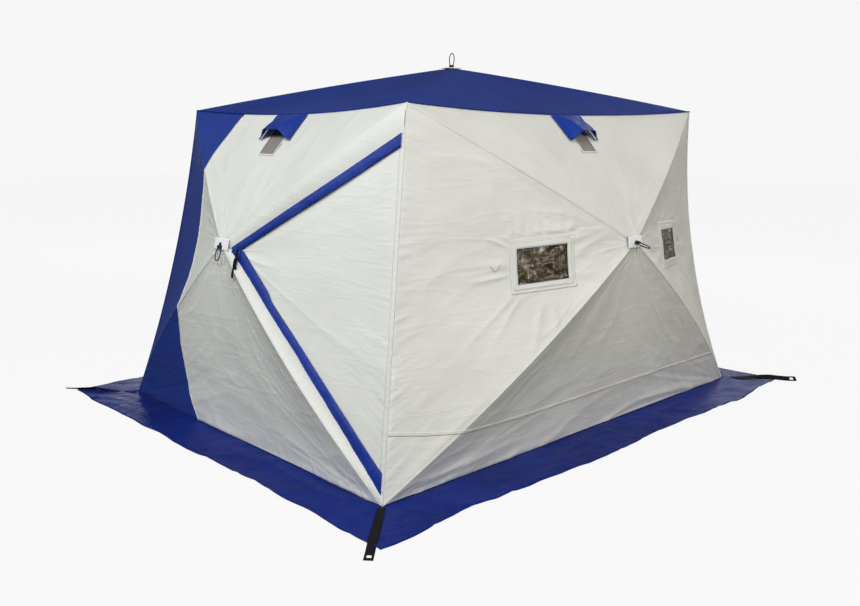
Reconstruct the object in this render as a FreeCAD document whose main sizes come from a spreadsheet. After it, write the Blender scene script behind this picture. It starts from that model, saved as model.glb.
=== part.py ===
import FreeCAD, Part
import math
import os
import Sketcher

# Hub-type ice fishing shelter. Millimetres, +Z up, origin on the ground at the
# centre of the base. X runs along the long side, the windowed wall faces -Y and
# the door wall faces -X. Every wall and the roof is a fabric pyramid held out by
# four bowed rods that meet in a hub.

Vec = FreeCAD.Vector

SIZES = {
    "BaseLength": 3200.0, "BaseWidth": 2230.0,
    "TopLength": 2500.0, "TopWidth": 1710.0, "WallHeight": 1735.0,
    "HubHeight": 1030.0,        # hub foot, measured up the slope of a wall
    "LongBulge": 332.0, "ShortBulge": 285.0, "RoofBulge": 246.0,
    "Fabric": 1.5, "SeamGap": 1.2, "EdgeInset": 3.0,
    "FilmThick": 1.0, "FilmLap": 14.0,
    "RodDia": 11.0, "EyeDia": 16.0, "EyeWidth": 11.0, "PinDia": 5.0,
    "PinHole": 5.4, "PinLength": 26.0,
    "BowLower": 60.0, "BowUpper": 20.0, "BowRoof": 10.0,
    "HubDia": 96.0, "HubThick": 20.0, "HubSink": 36.0, "PinRadius": 36.0,
    "SlotInner": 24.0, "SlotWidth": 14.0, "BossDia": 20.0, "BoltDia": 6.0,
    "PlateLong": 120.0, "PlateTall": 55.0, "PlateThick": 2.0,
    "TipBack": 75.0, "TipDepth": 22.0, "CupLength": 45.0,
    "CupInner": 7.5, "CupOuter": 10.0,
    "SkirtWidth": 290.0, "SkirtThick": 2.0,
    "StrapLength": 480.0, "StrapWidth": 40.0, "StrapThick": 2.5,
    "TapeHalf": 8.0, "TapeThick": 1.6, "BandWidth": 55.0,
    "CordDia": 5.5, "HoodWidth": 250.0, "HoodDrop": 190.0,
}

GROUND_GAP = 8.0      # fabric hem above the ground, clear of the skirt
MID = 0.65            # where a panel is folded, as a share of hub to corner
HUB_HOLE = 0.035      # fabric left out round the hub, same share
EDGE_PULL = 55.0      # how far a free seam is drawn in at its middle
EDGE_SAG = 35.0       # how far a roof seam hangs at its middle
VENT_BAY = 135.0      # half width of the flat strip that carries a vent
HOOD_OPEN = 4.5      # degrees between a vent hood and the fabric under it

doc = FreeCAD.newDocument("IceShelter")
sheet = doc.addObject("Spreadsheet::Sheet", "Sizes")
for row, (alias, value) in enumerate(SIZES.items(), start=1):
    sheet.set("A%d" % row, alias)
    sheet.set("B%d" % row, "%g" % value)
    sheet.setAlias("B%d" % row, alias)
doc.recompute()


def size(alias):
    return float(sheet.get(alias))


# ---------------------------------------------------------------- frames

def frame(origin, x_dir, z_dir):
    """Placement whose X and Z axes follow two given directions."""
    z_axis = Vec(z_dir).normalize()
    x_axis = Vec(x_dir)
    x_axis = (x_axis - z_axis * x_axis.dot(z_axis)).normalize()
    y_axis = z_axis.cross(x_axis)
    return FreeCAD.Placement(Vec(origin), FreeCAD.Rotation(x_axis, y_axis, z_axis, "ZXY"))


class Surface:
    """One wall or the roof: a trapezoid with a hub pushed out of it."""

    def __init__(self, name, origin, u, v, base, top, slope, foot, bulge, bows):
        self.name = name
        self.origin = Vec(origin)
        self.u, self.v = Vec(u), Vec(v)
        self.w = self.u.cross(self.v)
        low = GROUND_GAP if name != "roof" else size("EdgeInset")
        inset = size("EdgeInset")
        self.foot, self.bulge, self.bows = foot, bulge, bows
        bottom_v = low if name != "roof" else -slope / 2 + inset
        top_v = slope - inset if name != "roof" else slope / 2 - inset
        self.corners = [(-base + inset, bottom_v), (base - inset, bottom_v),
                        (top - inset, top_v), (-top + inset, top_v)]
        self.mids = [None, None, None, None]

    def at(self, u, v, w=0.0):
        return self.origin + self.u * u + self.v * v + self.w * w

    def local(self, point):
        d = point - self.origin
        return d.dot(self.u), d.dot(self.v), d.dot(self.w)

    def apex(self, sink=0.0):
        return self.at(0, self.foot, self.bulge - sink)

    def corner(self, index):
        return self.at(*self.corners[index % 4])

    def fold(self, index):
        """Fabric point on a rod seam, bowed out like the rod."""
        bow = self.bows[index % 4] * 1.1
        return self.apex() + (self.corner(index) - self.apex()) * MID + self.w * bow

    def throat(self, index):
        return self.apex() + (self.fold(index) - self.apex()) * HUB_HOLE / MID

    def middle(self, index):
        """Middle of the seam between two corners, drawn in where it is free."""
        pull = self.mids[index % 4] or Vec(0, 0, 0)
        return (self.corner(index) + self.corner(index + 1)) * 0.5 + pull

    def rod_tip(self, index):
        corner = self.corner(index)
        flat = self.at(0, self.foot) - corner
        return corner + flat.normalize() * size("TipBack") - self.w * size("TipDepth")

    def rod_direction(self, index):
        d = self.rod_tip(index) - self.apex(size("HubSink"))
        return (d - self.w * d.dot(self.w)).normalize()

    def pin(self, index):
        return self.apex(size("HubSink")) + self.rod_direction(index) * size("PinRadius")

    def rod_bow(self, index):
        return self.bows[index % 4]


def make_surfaces():
    half_l, half_w = size("BaseLength") / 2, size("BaseWidth") / 2
    top_l, top_w = size("TopLength") / 2, size("TopWidth") / 2
    height, foot = size("WallHeight"), size("HubHeight")
    low, high, flat = size("BowLower"), size("BowUpper"), size("BowRoof")
    wall_bows = [low, low, high, high]

    def wall(name, out, reach, top_reach, base, top, bulge):
        lean = math.atan2(reach - top_reach, height)
        v = Vec(0, 0, math.cos(lean)) - Vec(out) * math.sin(lean)
        u = Vec(-out[1], out[0], 0)
        slope = height / math.cos(lean)
        return Surface(name, Vec(out) * reach, u, v, base, top, slope, foot, bulge, wall_bows)

    walls = {
        "front": wall("front", (0, -1, 0), half_w, top_w, half_l, top_l, size("LongBulge")),
        "back": wall("back", (0, 1, 0), half_w, top_w, half_l, top_l, size("LongBulge")),
        "door": wall("door", (-1, 0, 0), half_l, top_l, half_w, top_w, size("ShortBulge")),
        "end": wall("end", (1, 0, 0), half_l, top_l, half_w, top_w, size("ShortBulge")),
        "roof": Surface("roof", (0, 0, height), (1, 0, 0), (0, 1, 0), top_l, top_l,
                        2 * top_w, 0, size("RoofBulge"), [flat] * 4),
    }
    set_drawn_seams(walls)
    return walls


def set_drawn_seams(surfaces):
    """Seams hang in between their corners; the door corner is held straight."""
    for name, out in (("front", (0, -1)), ("back", (0, 1)), ("door", (-1, 0)), ("end", (1, 0))):
        inward = Vec(-out[0], -out[1], 0)
        surface = surfaces[name]
        surface.mids[2] = inward * EDGE_PULL - Vec(0, 0, EDGE_SAG)
        for index, side in ((1, surface.u), (3, surface.u * -1)):
            at_door_corner = surface.corner(index).x < 0 and surface.corner(index).y < 0
            if not at_door_corner:
                surface.mids[index] = (inward - side) * EDGE_PULL
    order = {0: "front", 1: "end", 2: "back", 3: "door"}
    for index, name in order.items():
        surfaces["roof"].mids[index] = Vec(surfaces[name].mids[2])


# ---------------------------------------------------------------- small builders

def new_body(label, placement=None):
    body = doc.addObject("PartDesign::Body", label)
    if placement is not None:
        body.Placement = placement
    return body


def new_sketch(body, name, role="XY_Plane", offset=0.0):
    sketch = body.newObject("Sketcher::SketchObject", name)
    plane = [f for f in body.Origin.OriginFeatures if f.Role == role][0]
    sketch.AttachmentSupport = [(plane, "")]
    sketch.MapMode = "FlatFace"
    sketch.AttachmentOffset = FreeCAD.Placement(Vec(0, 0, offset), FreeCAD.Rotation())
    return sketch


def draw_polygon(sketch, points):
    first = sketch.GeometryCount
    count = len(points)
    for i in range(count):
        a, b = points[i], points[(i + 1) % count]
        sketch.addGeometry(Part.LineSegment(Vec(a[0], a[1], 0), Vec(b[0], b[1], 0)), False)
    for i in range(count):
        sketch.addConstraint(
            Sketcher.Constraint("Coincident", first + i, 2, first + (i + 1) % count, 1))


def draw_circle(sketch, x, y, radius, radius_expression=None):
    index = sketch.addGeometry(Part.Circle(Vec(x, y, 0), Vec(0, 0, 1), radius), False)
    if radius_expression:
        datum = sketch.addConstraint(Sketcher.Constraint("Radius", index, radius))
        sketch.setExpression("Constraints[%d]" % datum, radius_expression)


def pad(body, sketch, expression, reverse=False, midplane=False):
    feature = body.newObject("PartDesign::Pad", sketch.Name + "Pad")
    feature.Profile = sketch
    feature.setExpression("Length", expression)
    feature.Reversed = reverse
    feature.Midplane = midplane
    sketch.Visibility = False
    return feature


def pocket(body, sketch, expression):
    feature = body.newObject("PartDesign::Pocket", sketch.Name + "Cut")
    feature.Profile = sketch
    feature.setExpression("Length", expression)
    feature.Midplane = True
    return feature


def inset_polygon(points, gaps):
    """Move every side of a counter-clockwise polygon inward by its own gap."""
    count = len(points)
    lines = []
    for i in range(count):
        a, b = points[i], points[(i + 1) % count]
        dx, dy = b[0] - a[0], b[1] - a[1]
        length = math.hypot(dx, dy)
        nx, ny = -dy / length, dx / length
        lines.append((nx, ny, nx * a[0] + ny * a[1] + gaps[i]))
    result = []
    for i in range(count):
        ax, ay, ac = lines[i - 1]
        bx, by, bc = lines[i]
        det = ax * by - ay * bx
        result.append(((ac * by - bc * ay) / det, (ax * bc - bx * ac) / det))
    return result


def plate(label, points, outward, thickness, gaps=None, hole=None, raised=0.0):
    """Flat panel on three or four points; its outer face lies on the points."""
    normal = (points[1] - points[0]).cross(points[2] - points[0])
    if normal.dot(outward) < 0:
        points = [points[0]] + list(reversed(points[1:]))
        if gaps:
            gaps = list(reversed(gaps))
        normal = normal * -1
    normal.normalize()
    place = frame(points[0] + normal * raised, points[1] - points[0], normal)
    inverse = place.inverse()
    flat = [(p.x, p.y) for p in (inverse.multVec(q) for q in points)]
    if gaps is None:
        gaps = [size("SeamGap")] * len(points)
    body = new_body(label, place)
    sketch = new_sketch(body, label + "Outline")
    draw_polygon(sketch, inset_polygon(flat, gaps))
    if hole:
        draw_polygon(sketch, [(p.x, p.y) for p in (inverse.multVec(q) for q in hole)])
    pad(body, sketch, thickness, reverse=True)
    return body


def group(label, members):
    compound = doc.addObject("Part::Compound", label)
    compound.Links = members
    compound.Label = label
    return compound


# ---------------------------------------------------------------- fabric

WINDOWS = {"left": -605.0, "right": 655.0, "v": 980.0, "half_u": 155.0, "half_v": 87.0}
VENT = {"v": 1600.0, "half_u": 92.0, "half_v": 66.0}


def drop_onto(surface, a, b, c, u, v):
    """Point of the plane a, b, c that lies straight above wall point u, v."""
    normal = (b - a).cross(c - a)
    start = surface.at(u, v)
    rise = (a - start).dot(normal) / surface.w.dot(normal)
    return start + surface.w * rise


def rectangle_on(surface, triple, u, v, half_u, half_v):
    signs = ((-1, -1), (1, -1), (1, 1), (-1, 1))
    return [drop_onto(surface, *triple, u + su * half_u, v + sv * half_v) for su, sv in signs]


def side_facets(surface, index, window_u=None):
    """Four flat facets of the panel between two rods, plus the film of a window."""
    e1, e2, mid = surface.corner(index), surface.corner(index + 1), surface.middle(index)
    m1, m2 = surface.fold(index), surface.fold(index + 1)
    t1, t2 = surface.throat(index), surface.throat(index + 1)
    name = "%s%d" % (surface.name.capitalize(), index)
    thickness = "Sizes.Fabric"
    hole, film = None, []
    if window_u is not None:
        lap = size("FilmLap")
        half_u, half_v = WINDOWS["half_u"], WINDOWS["half_v"]
        plane = (m1, m2, t2)
        hole = rectangle_on(surface, plane, window_u, WINDOWS["v"], half_u, half_v)
        pane = rectangle_on(surface, plane, window_u, WINDOWS["v"], half_u + lap, half_v + lap)
        film.append(film_plate(name + "Pane", pane, surface))
    facets = [
        plate(name + "A", [e1, mid, m1], surface.w, thickness),
        plate(name + "B", [mid, m2, m1], surface.w, thickness),
        plate(name + "C", [mid, e2, m2], surface.w, thickness),
        plate(name + "D", [m1, m2, t2, t1], surface.w, thickness, hole=hole),
    ]
    return facets, film


def bay_point(surface, index):
    """Point of a panel's centre line that is level with the folds."""
    mid = surface.middle(index)
    return mid + (surface.apex() - mid) * (1 - MID)


def top_facets(surface, index, vent):
    """Panel under a drawn-in seam: its centre line runs straight to the hub."""
    e1, e2, mid = surface.corner(index), surface.corner(index + 1), surface.middle(index)
    m1, m2 = surface.fold(index), surface.fold(index + 1)
    t1, t2 = surface.throat(index), surface.throat(index + 1)
    aside = (e1 - e2).normalize() * VENT_BAY
    centre = bay_point(surface, index)
    s1, s2, k1, k2 = mid + aside, mid - aside, centre + aside, centre - aside
    name = "%s%d" % (surface.name.capitalize(), index)
    thickness = "Sizes.Fabric"
    hole, film = None, []
    if vent:
        lap, half_u, half_v = size("FilmLap"), VENT["half_u"], VENT["half_v"]
        plane = (s1, s2, k1)
        hole = rectangle_on(surface, plane, 0, VENT["v"], half_u, half_v)
        mesh = rectangle_on(surface, plane, 0, VENT["v"], half_u + lap, half_v + lap)
        film.append(film_plate(name + "Mesh", mesh, surface))
    facets = [
        plate(name + "A", [e1, s1, m1], surface.w, thickness),
        plate(name + "B", [s1, k1, m1], surface.w, thickness),
        plate(name + "C", [s1, s2, k2, k1], surface.w, thickness, hole=hole),
        plate(name + "D", [s2, m2, k2], surface.w, thickness),
        plate(name + "E", [s2, e2, m2], surface.w, thickness),
        plate(name + "F", [m1, k1, t1], surface.w, thickness),
        plate(name + "G", [k1, k2, t2, t1], surface.w, thickness),
        plate(name + "H", [k2, m2, t2], surface.w, thickness),
    ]
    return facets, film


def film_plate(label, points, surface):
    """Clear film or mesh sewn to the inside of the fabric round an opening."""
    return plate(label, points, surface.w, "Sizes.FilmThick", gaps=[0.0] * 4,
                 raised=-size("Fabric") - 0.4)


def door_points(door):
    """Corners of the flat door triangle: top and bottom of the seam, and the tip."""
    top, bottom = door.corner(2), door.corner(1)
    upper = top + (bottom - top) * 0.08
    lower = bottom + (top - bottom) * 0.035
    tip = drop_onto(door, bottom, top, door.apex(), 84.0, 1011.0)
    return upper, lower, tip


def door_surround(door):
    """Wall fabric left between the two rods and the zips of the door."""
    upper, lower, tip = door_points(door)
    seam, zipper = size("SeamGap"), size("TapeHalf") + 2.0
    m_low, m_top = door.fold(1), door.fold(2)
    t_low, t_top = door.throat(1), door.throat(2)
    e_low, e_top = door.corner(1), door.corner(2)
    thickness = "Sizes.Fabric"
    return [
        plate("Surround0", [e_low, m_low, lower], door.w, thickness, [seam, seam, seam]),
        plate("Surround1", [lower, m_low, tip], door.w, thickness, [seam, seam, zipper]),
        plate("Surround2", [m_low, t_low, tip], door.w, thickness, [seam, seam, seam]),
        plate("Surround3", [e_top, upper, m_top], door.w, thickness, [seam, seam, seam]),
        plate("Surround4", [upper, tip, m_top], door.w, thickness, [zipper, seam, seam]),
        plate("Surround5", [m_top, tip, t_top], door.w, thickness, [seam, seam, seam]),
    ]


def make_fabric(surfaces):
    nodes, films, meshes = {}, {"front": [], "back": []}, []
    for name, surface in surfaces.items():
        facets = []
        for index in range(4):
            if name == "door" and index == 1:
                facets += door_surround(surface)
                continue
            if name == "roof" or index == 2:
                panel, film = top_facets(surface, index, vent=name != "roof")
                meshes += film
            elif name in ("front", "back") and index != 0:
                window_u = WINDOWS["right"] if index == 1 else WINDOWS["left"]
                panel, film = side_facets(surface, index, window_u)
                films[name] += film
            else:
                panel, film = side_facets(surface, index)
            facets += panel
        label = "roof_fabric" if name == "roof" else name + "_wall_fabric"
        nodes[label] = group(label, facets)
    nodes["window_films_front"] = group("window_films_front", films["front"])
    nodes["window_films_back"] = group("window_films_back", films["back"])
    nodes["vent_meshes"] = group("vent_meshes", meshes)
    return nodes


# ---------------------------------------------------------------- door

def strip(label, start, end, side, near, far, normal, thickness, raised=0.0, trim=(0.0, 0.0)):
    """Flat strip beside the line start to end, between two distances from it."""
    along = (end - start).normalize()
    across = side - along * side.dot(along)
    across.normalize()
    a, b = start + along * trim[0], end - along * trim[1]
    points = [a + across * near, b + across * near, b + across * far, a + across * far]
    return plate(label, points, normal, thickness, gaps=[0.0] * 4, raised=raised)


def make_door(door):
    upper, lower, tip = door_points(door)
    normal = (upper - lower).cross(tip - lower)
    if normal.dot(door.w) < 0:
        normal = normal * -1
    inward = (tip - (upper + lower) * 0.5)
    half, band = size("TapeHalf"), size("BandWidth")
    thick = "Sizes.TapeThick"
    leaf = plate("door_leaf", [upper, lower, tip], door.w, "Sizes.Fabric",
                 [half * 2, half + 2, half + 2])
    hinge = strip("door_hinge_tape", upper, lower, inward, 2.0, 13.0, normal, thick,
                  trim=(30.0, 30.0))
    up_side = (lower - upper)
    down_side = (upper - lower)
    tape_up = strip("TapeUpper", upper, tip, up_side, -half, half, normal, thick,
                    trim=(40.0, 56.0))
    tape_down = strip("TapeLower", lower, tip, down_side, -half, half, normal, thick,
                      trim=(40.0, 56.0))
    band_up = strip("BandUpper", upper, tip, up_side, half + 4, half + 4 + band, normal,
                    thick, raised=size("TapeThick") + 0.4, trim=(110.0, 190.0))
    band_down = strip("BandLower", lower, tip, down_side, half + 4, half + 4 + band, normal,
                      thick, raised=size("TapeThick") + 0.4, trim=(110.0, 190.0))
    nodes = {
        "door_leaf": leaf, "door_hinge_tape": hinge,
        "zip_tapes": group("zip_tapes", [tape_up, tape_down]),
        "door_zip_flaps": group("door_zip_flaps", [band_up, band_down]),
        "zip_slider_upper": make_slider("Upper", tip, upper, normal, 72.0, 0.0),
        "zip_slider_lower": make_slider("Lower", tip, lower, normal, 92.0, -6.0),
    }
    return nodes


def make_slider(name, tip, end, normal, start, tab_angle):
    """Zip slider with a long pull tab, standing on the zip line."""
    along = (end - tip).normalize()
    place = frame(tip + along * start, along, normal)
    body = new_body("zip_slider_" + name.lower(), place)
    base = new_sketch(body, name + "SliderBase", offset=1.0)
    draw_polygon(base, [(-8, -6), (8, -6), (8, 6), (-8, 6)])
    pad(body, base, "Sizes.TapeHalf * 0.6")
    post = new_sketch(body, name + "SliderPost", offset=4.0)
    draw_polygon(post, [(-2.5, -2.5), (2.5, -2.5), (2.5, 2.5), (-2.5, 2.5)])
    pad(body, post, "Sizes.TapeHalf * 1.2")
    turn = math.radians(tab_angle)
    down = Vec(math.cos(turn), math.sin(turn), 0)
    side = Vec(-down.y, down.x, 0) * 3.0
    tab = new_sketch(body, name + "SliderTab", offset=12.5)
    corners = [side * -1, side, side + down * 70, side * -1 + down * 70]
    if (corners[1] - corners[0]).cross(corners[2] - corners[0]).z < 0:
        corners.reverse()
    draw_polygon(tab, [(p.x, p.y) for p in corners])
    pad(body, tab, "Sizes.TapeThick")
    return body


# ---------------------------------------------------------------- hubs and rods

def make_hub(surface):
    """Moulded hub: a disc with four open slots, crossed by the pin holes."""
    name = surface.name
    place = frame(surface.apex(size("HubSink")), surface.u, surface.w)
    body = new_body(name + "HubBody", place)
    disc = new_sketch(body, name + "HubDisc")
    draw_circle(disc, 0, 0, size("HubDia") / 2, "Sizes.HubDia / 2")
    pad(body, disc, "Sizes.HubThick", midplane=True)
    boss = new_sketch(body, name + "HubBoss")
    draw_circle(boss, 0, 0, size("BossDia") / 2, "Sizes.BossDia / 2")
    pad(body, boss, "Sizes.HubSink - 3.2")
    slots = new_sketch(body, name + "HubSlots")
    half, inner, outer = size("SlotWidth") / 2, size("SlotInner"), size("HubDia")
    for index in range(4):
        d = surface.rod_direction(index)
        x, y = d.dot(surface.u), d.dot(surface.v)
        corners = [(inner, -half), (outer, -half), (outer, half), (inner, half)]
        draw_polygon(slots, [(a * x - b * y, a * y + b * x) for a, b in corners])
    pocket(body, slots, "Sizes.HubThick * 4")
    core = new_sketch(body, name + "HubCore")
    draw_circle(core, 0, 0, size("BoltDia") / 2 + 0.2, "Sizes.BoltDia / 2 + 0.2")
    pocket(body, core, "Sizes.HubSink * 4")
    drills = []
    for index in range(4):
        drills.append(pin_cylinder(surface, index, name + "Drill", "Sizes.PinDia / 2 + 0.1", 34.0))
    drill_set = doc.addObject("Part::Compound", name + "Drills")
    drill_set.Links = drills
    hub = doc.addObject("Part::Cut", name + "_hub")
    hub.Base = body
    hub.Tool = drill_set
    return hub


def pin_cylinder(surface, index, label, radius_expression, length):
    """Round bar across one slot, on the rod hinge axis."""
    centre = surface.pin(index)
    axis = surface.w.cross(surface.rod_direction(index)).normalize()
    bar = doc.addObject("Part::Cylinder", label + str(index))
    bar.setExpression("Radius", radius_expression)
    bar.Height = length
    bar.Placement = frame(centre - axis * (length / 2), surface.w, axis)
    return bar


def make_hardware(surface):
    """Four hinge pins and the bolt, washer and face plate of one hub."""
    name = surface.name
    parts = []
    for index in range(4):
        parts.append(pin_cylinder(surface, index, name + "Pin", "Sizes.PinDia / 2",
                                  size("PinLength")))
    place = frame(surface.apex(size("HubSink")), surface.u, surface.w)
    body = new_body(name + "Bolt", place)
    back = -size("HubThick") / 2 - 0.3
    nut = new_sketch(body, name + "Nut", offset=back)
    draw_circle(nut, 0, 0, 9.0)
    pad(body, nut, "Sizes.BoltDia", reverse=True)
    shank = new_sketch(body, name + "Shank", offset=back - 1.0)
    draw_circle(shank, 0, 0, size("BoltDia") / 2, "Sizes.BoltDia / 2")
    pad(body, shank, "Sizes.HubSink + 20")
    face = new_sketch(body, name + "Face", offset=size("HubSink") - 3.0)
    a, b = size("PlateLong") / 2, size("PlateTall") / 2
    draw_polygon(face, [(-a, -b), (a, -b), (a, b), (-a, b)])
    pad(body, face, "Sizes.PlateThick")
    head = new_sketch(body, name + "Head", offset=size("HubSink") - 2.0)
    draw_circle(head, 0, 0, 7.0)
    pad(body, head, "Sizes.BoltDia + 2")
    parts.append(body)
    return group(name + "_hub_hardware", parts)


def rod_frame(surface, index):
    pin, tip = surface.pin(index), surface.rod_tip(index)
    axis = surface.w.cross(surface.rod_direction(index))
    return frame(pin, tip - pin, axis), (tip - pin).Length


def make_rod(surface, index, label):
    """Bowed fibreglass rod with its eye, drawn along X with the eye at the origin."""
    place, length = rod_frame(surface, index)
    body = new_body(label, place)
    eye = new_sketch(body, label + "Eye")
    draw_circle(eye, 0, 0, size("EyeDia") / 2, "Sizes.EyeDia / 2")
    pad(body, eye, "Sizes.EyeWidth", midplane=True)
    neck = new_sketch(body, label + "Neck")
    draw_polygon(neck, [(0, -5), (26, -6), (26, 5), (0, 5)])
    pad(body, neck, "Sizes.EyeWidth", midplane=True)
    start = 12.0
    bow = surface.rod_bow(index)
    spine = new_sketch(body, label + "Spine")
    arc = Part.Arc(Vec(start, 0, 0), Vec((start + length) / 2, -bow, 0), Vec(length, 0, 0))
    spine.addGeometry(arc, False)
    round_section = new_sketch(body, label + "Section", "YZ_Plane", start)
    draw_circle(round_section, 0, 0, size("RodDia") / 2, "Sizes.RodDia / 2")
    doc.recompute()
    pipe = body.newObject("PartDesign::AdditivePipe", label + "Pipe")
    pipe.Profile = round_section
    pipe.Spine = (spine, ["Edge1"])
    hole = new_sketch(body, label + "Hole")
    draw_circle(hole, 0, 0, size("PinHole") / 2, "Sizes.PinHole / 2")
    pocket(body, hole, "Sizes.EyeWidth * 2")
    return body


def make_cup(surface, index, label):
    """Webbing cup sewn into a corner; the rod tip sits in it."""
    place, length = rod_frame(surface, index)
    bow = surface.rod_bow(index)
    turn = math.atan2(4 * bow, length - 12.0)
    lean = FreeCAD.Placement(Vec(length, 0, 0), FreeCAD.Rotation(Vec(0, 0, 1), math.degrees(turn)))
    body = new_body(label, place.multiply(lean))
    profile = new_sketch(body, label + "Profile")
    inner, outer, deep = size("CupInner"), size("CupOuter"), size("CupLength")
    draw_polygon(profile, [(5, 0), (5, outer), (5 - deep, outer), (5 - deep, inner),
                           (2, inner), (2, 0)])
    turned = body.newObject("PartDesign::Revolution", label + "Turned")
    turned.Profile = profile
    turned.ReferenceAxis = (profile, ["H_Axis"])
    turned.Angle = 360.0
    return body


ROD_PLACES = ("lower_left", "lower_right", "upper_right", "upper_left")
ROOF_PLACES = ("front_left", "front_right", "back_right", "back_left")


def make_frame(surfaces):
    nodes, low_cups, high_cups = {}, [], []
    for name, surface in surfaces.items():
        nodes[name + "_hub"] = make_hub(surface)
        nodes[name + "_hub_hardware"] = make_hardware(surface)
        places = ROOF_PLACES if name == "roof" else ROD_PLACES
        for index in range(4):
            label = "%s_rod_%s" % (name, places[index])
            nodes[label] = make_rod(surface, index, label)
            cup = make_cup(surface, index, "%sCup%d" % (name.capitalize(), index))
            is_low = name != "roof" and index < 2
            (low_cups if is_low else high_cups).append(cup)
    nodes["bottom_corner_pockets"] = group("bottom_corner_pockets", low_cups)
    nodes["top_corner_pockets"] = group("top_corner_pockets", high_cups)
    return nodes


# ---------------------------------------------------------------- ground parts

def make_skirt():
    """Snow skirt lying on the ground, one mitred length along each wall."""
    half_l, half_w, width = size("BaseLength") / 2, size("BaseWidth") / 2, size("SkirtWidth")
    thick = size("SkirtThick")
    inner = [(-half_l, -half_w), (half_l, -half_w), (half_l, half_w), (-half_l, half_w)]
    outer = [(x + math.copysign(width, x), y + math.copysign(width, y)) for x, y in inner]
    pieces = []
    for i in range(4):
        j = (i + 1) % 4
        corners = [outer[i], outer[j], inner[j], inner[i]]
        points = [Vec(x, y, thick) for x, y in corners]
        pieces.append(plate("Skirt%d" % i, points, Vec(0, 0, 1), "Sizes.SkirtThick"))
    return group("snow_skirt", pieces)


def make_straps():
    """Anchor strap with an end loop, laid over the skirt at each corner."""
    half_l, half_w = size("BaseLength") / 2, size("BaseWidth") / 2
    length, half = size("StrapLength"), size("StrapWidth") / 2
    straps = []
    for i, (sx, sy) in enumerate(((-1, -1), (1, -1), (1, 1), (-1, 1))):
        place = frame(Vec(sx * half_l, sy * half_w, size("SkirtThick") + 0.6),
                      Vec(sx, sy, 0), Vec(0, 0, 1))
        body = new_body("Strap%d" % i, place)
        outline = new_sketch(body, "Strap%dOutline" % i)
        draw_polygon(outline, [(12, -half), (length, -half), (length, half), (12, half)])
        slot = [(length - 62, -10), (length - 12, -10), (length - 12, 10), (length - 62, 10)]
        draw_polygon(outline, slot)
        pad(body, outline, "Sizes.StrapThick")
        straps.append(body)
    return group("anchor_straps", straps)


def hood_frame(surface):
    """Hood plane: X along the seam, Y up the hood, origin on the hinge line."""
    seam = surface.middle(2)
    down = (bay_point(surface, 2) - seam).normalize()
    outward = surface.u.cross(down * -1)
    open_angle = math.radians(HOOD_OPEN)
    up = (down * math.cos(open_angle) + outward * math.sin(open_angle)) * -1
    return frame(seam + outward * 10.0, surface.u, surface.u.cross(up))


def make_hood(surface):
    """Vent hood sewn to the roof seam, standing off the wall over the vent."""
    body = new_body(surface.name + "_vent_hood", hood_frame(surface))
    half, drop = size("HoodWidth") / 2, size("HoodDrop")
    sketch = new_sketch(body, surface.name + "HoodOutline")
    points = [(-half, -6), (-half, -drop), (-half + 70, -drop + 52), (half - 70, -drop + 52),
              (half, -drop), (half, -6)]
    draw_polygon(sketch, points)
    pad(body, sketch, "Sizes.Fabric")
    return body


# ---------------------------------------------------------------- cords

def fillet_route(points, wire_name):
    """Straight runs joined by tangent arcs; prints the radii it used."""
    edges, radii = [], []
    cursor = points[0]
    for i in range(1, len(points) - 1):
        before, here, after = points[i - 1], points[i], points[i + 1]
        d1, d2 = (here - before).normalize(), (after - here).normalize()
        turn = d1.getAngle(d2)
        short = min((here - before).Length, (after - here).Length)
        radius = 0.45 * short / math.tan(turn / 2)
        cut = radius * math.tan(turn / 2)
        enter, leave = here - d1 * cut, here + d2 * cut
        centre_dir = (d2 - d1).normalize()
        centre = here + centre_dir * (radius / math.cos(turn / 2))
        middle = centre - centre_dir * radius
        edges.append(Part.LineSegment(cursor, enter).toShape())
        edges.append(Part.Arc(enter, middle, leave).toShape())
        cursor = leave
        radii.append(radius)
    edges.append(Part.LineSegment(cursor, points[-1]).toShape())
    print(wire_name, "radii", " ".join("%.1f" % r for r in radii))
    return Part.Wire(edges)


# Loop in its own plane: (across, along), tied at both ends beside the bolt head.
LOOP_ROUTE = ((-10, 0), (-15, 15), (-20, 32), (-20.5, 50), (-18, 66), (-9, 78),
              (9, 78), (18, 66), (20.5, 50), (20, 32), (15, 15), (10, 0))


def loop_points(surface):
    """Where the loop goes: hanging on most walls, standing on the roof."""
    place = frame(surface.apex(size("HubSink")), surface.u, surface.w)
    start = size("HubSink") + 3.5
    points = []
    for across, along in LOOP_ROUTE:
        if surface.name == "roof":
            local = Vec(across, 0, start + along)
        elif surface.name == "front":
            local = Vec(across, -0.45 * along, start + 0.9 * along)
        else:
            local = Vec(across, -6 - along, start + 0.12 * along)
        points.append(place.multVec(local))
    return points


def make_loop(surface):
    label = surface.name + "_pull_loop"
    points = loop_points(surface)
    spine = doc.addObject("Part::Feature", surface.name + "LoopSpine")
    spine.Shape = fillet_route(points, label)
    section = doc.addObject("Part::Circle", surface.name + "LoopSection")
    section.setExpression("Radius", "Sizes.CordDia / 2")
    start = (points[1] - points[0]).normalize()
    section.Placement = frame(points[0], surface.w.cross(start), start)
    tube = doc.addObject("Part::Sweep", label)
    tube.Sections = [section]
    tube.Spine = (spine, ["Edge%d" % (i + 1) for i in range(len(spine.Shape.Edges))])
    tube.Solid = True
    tube.Frenet = False
    doc.recompute()
    area = math.pi * (size("CordDia") / 2) ** 2
    print(label, "volume", round(tube.Shape.Volume), "section x length",
          round(area * spine.Shape.Length), "length", round(spine.Shape.Length, 1))
    return tube


# ---------------------------------------------------------------- build

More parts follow.
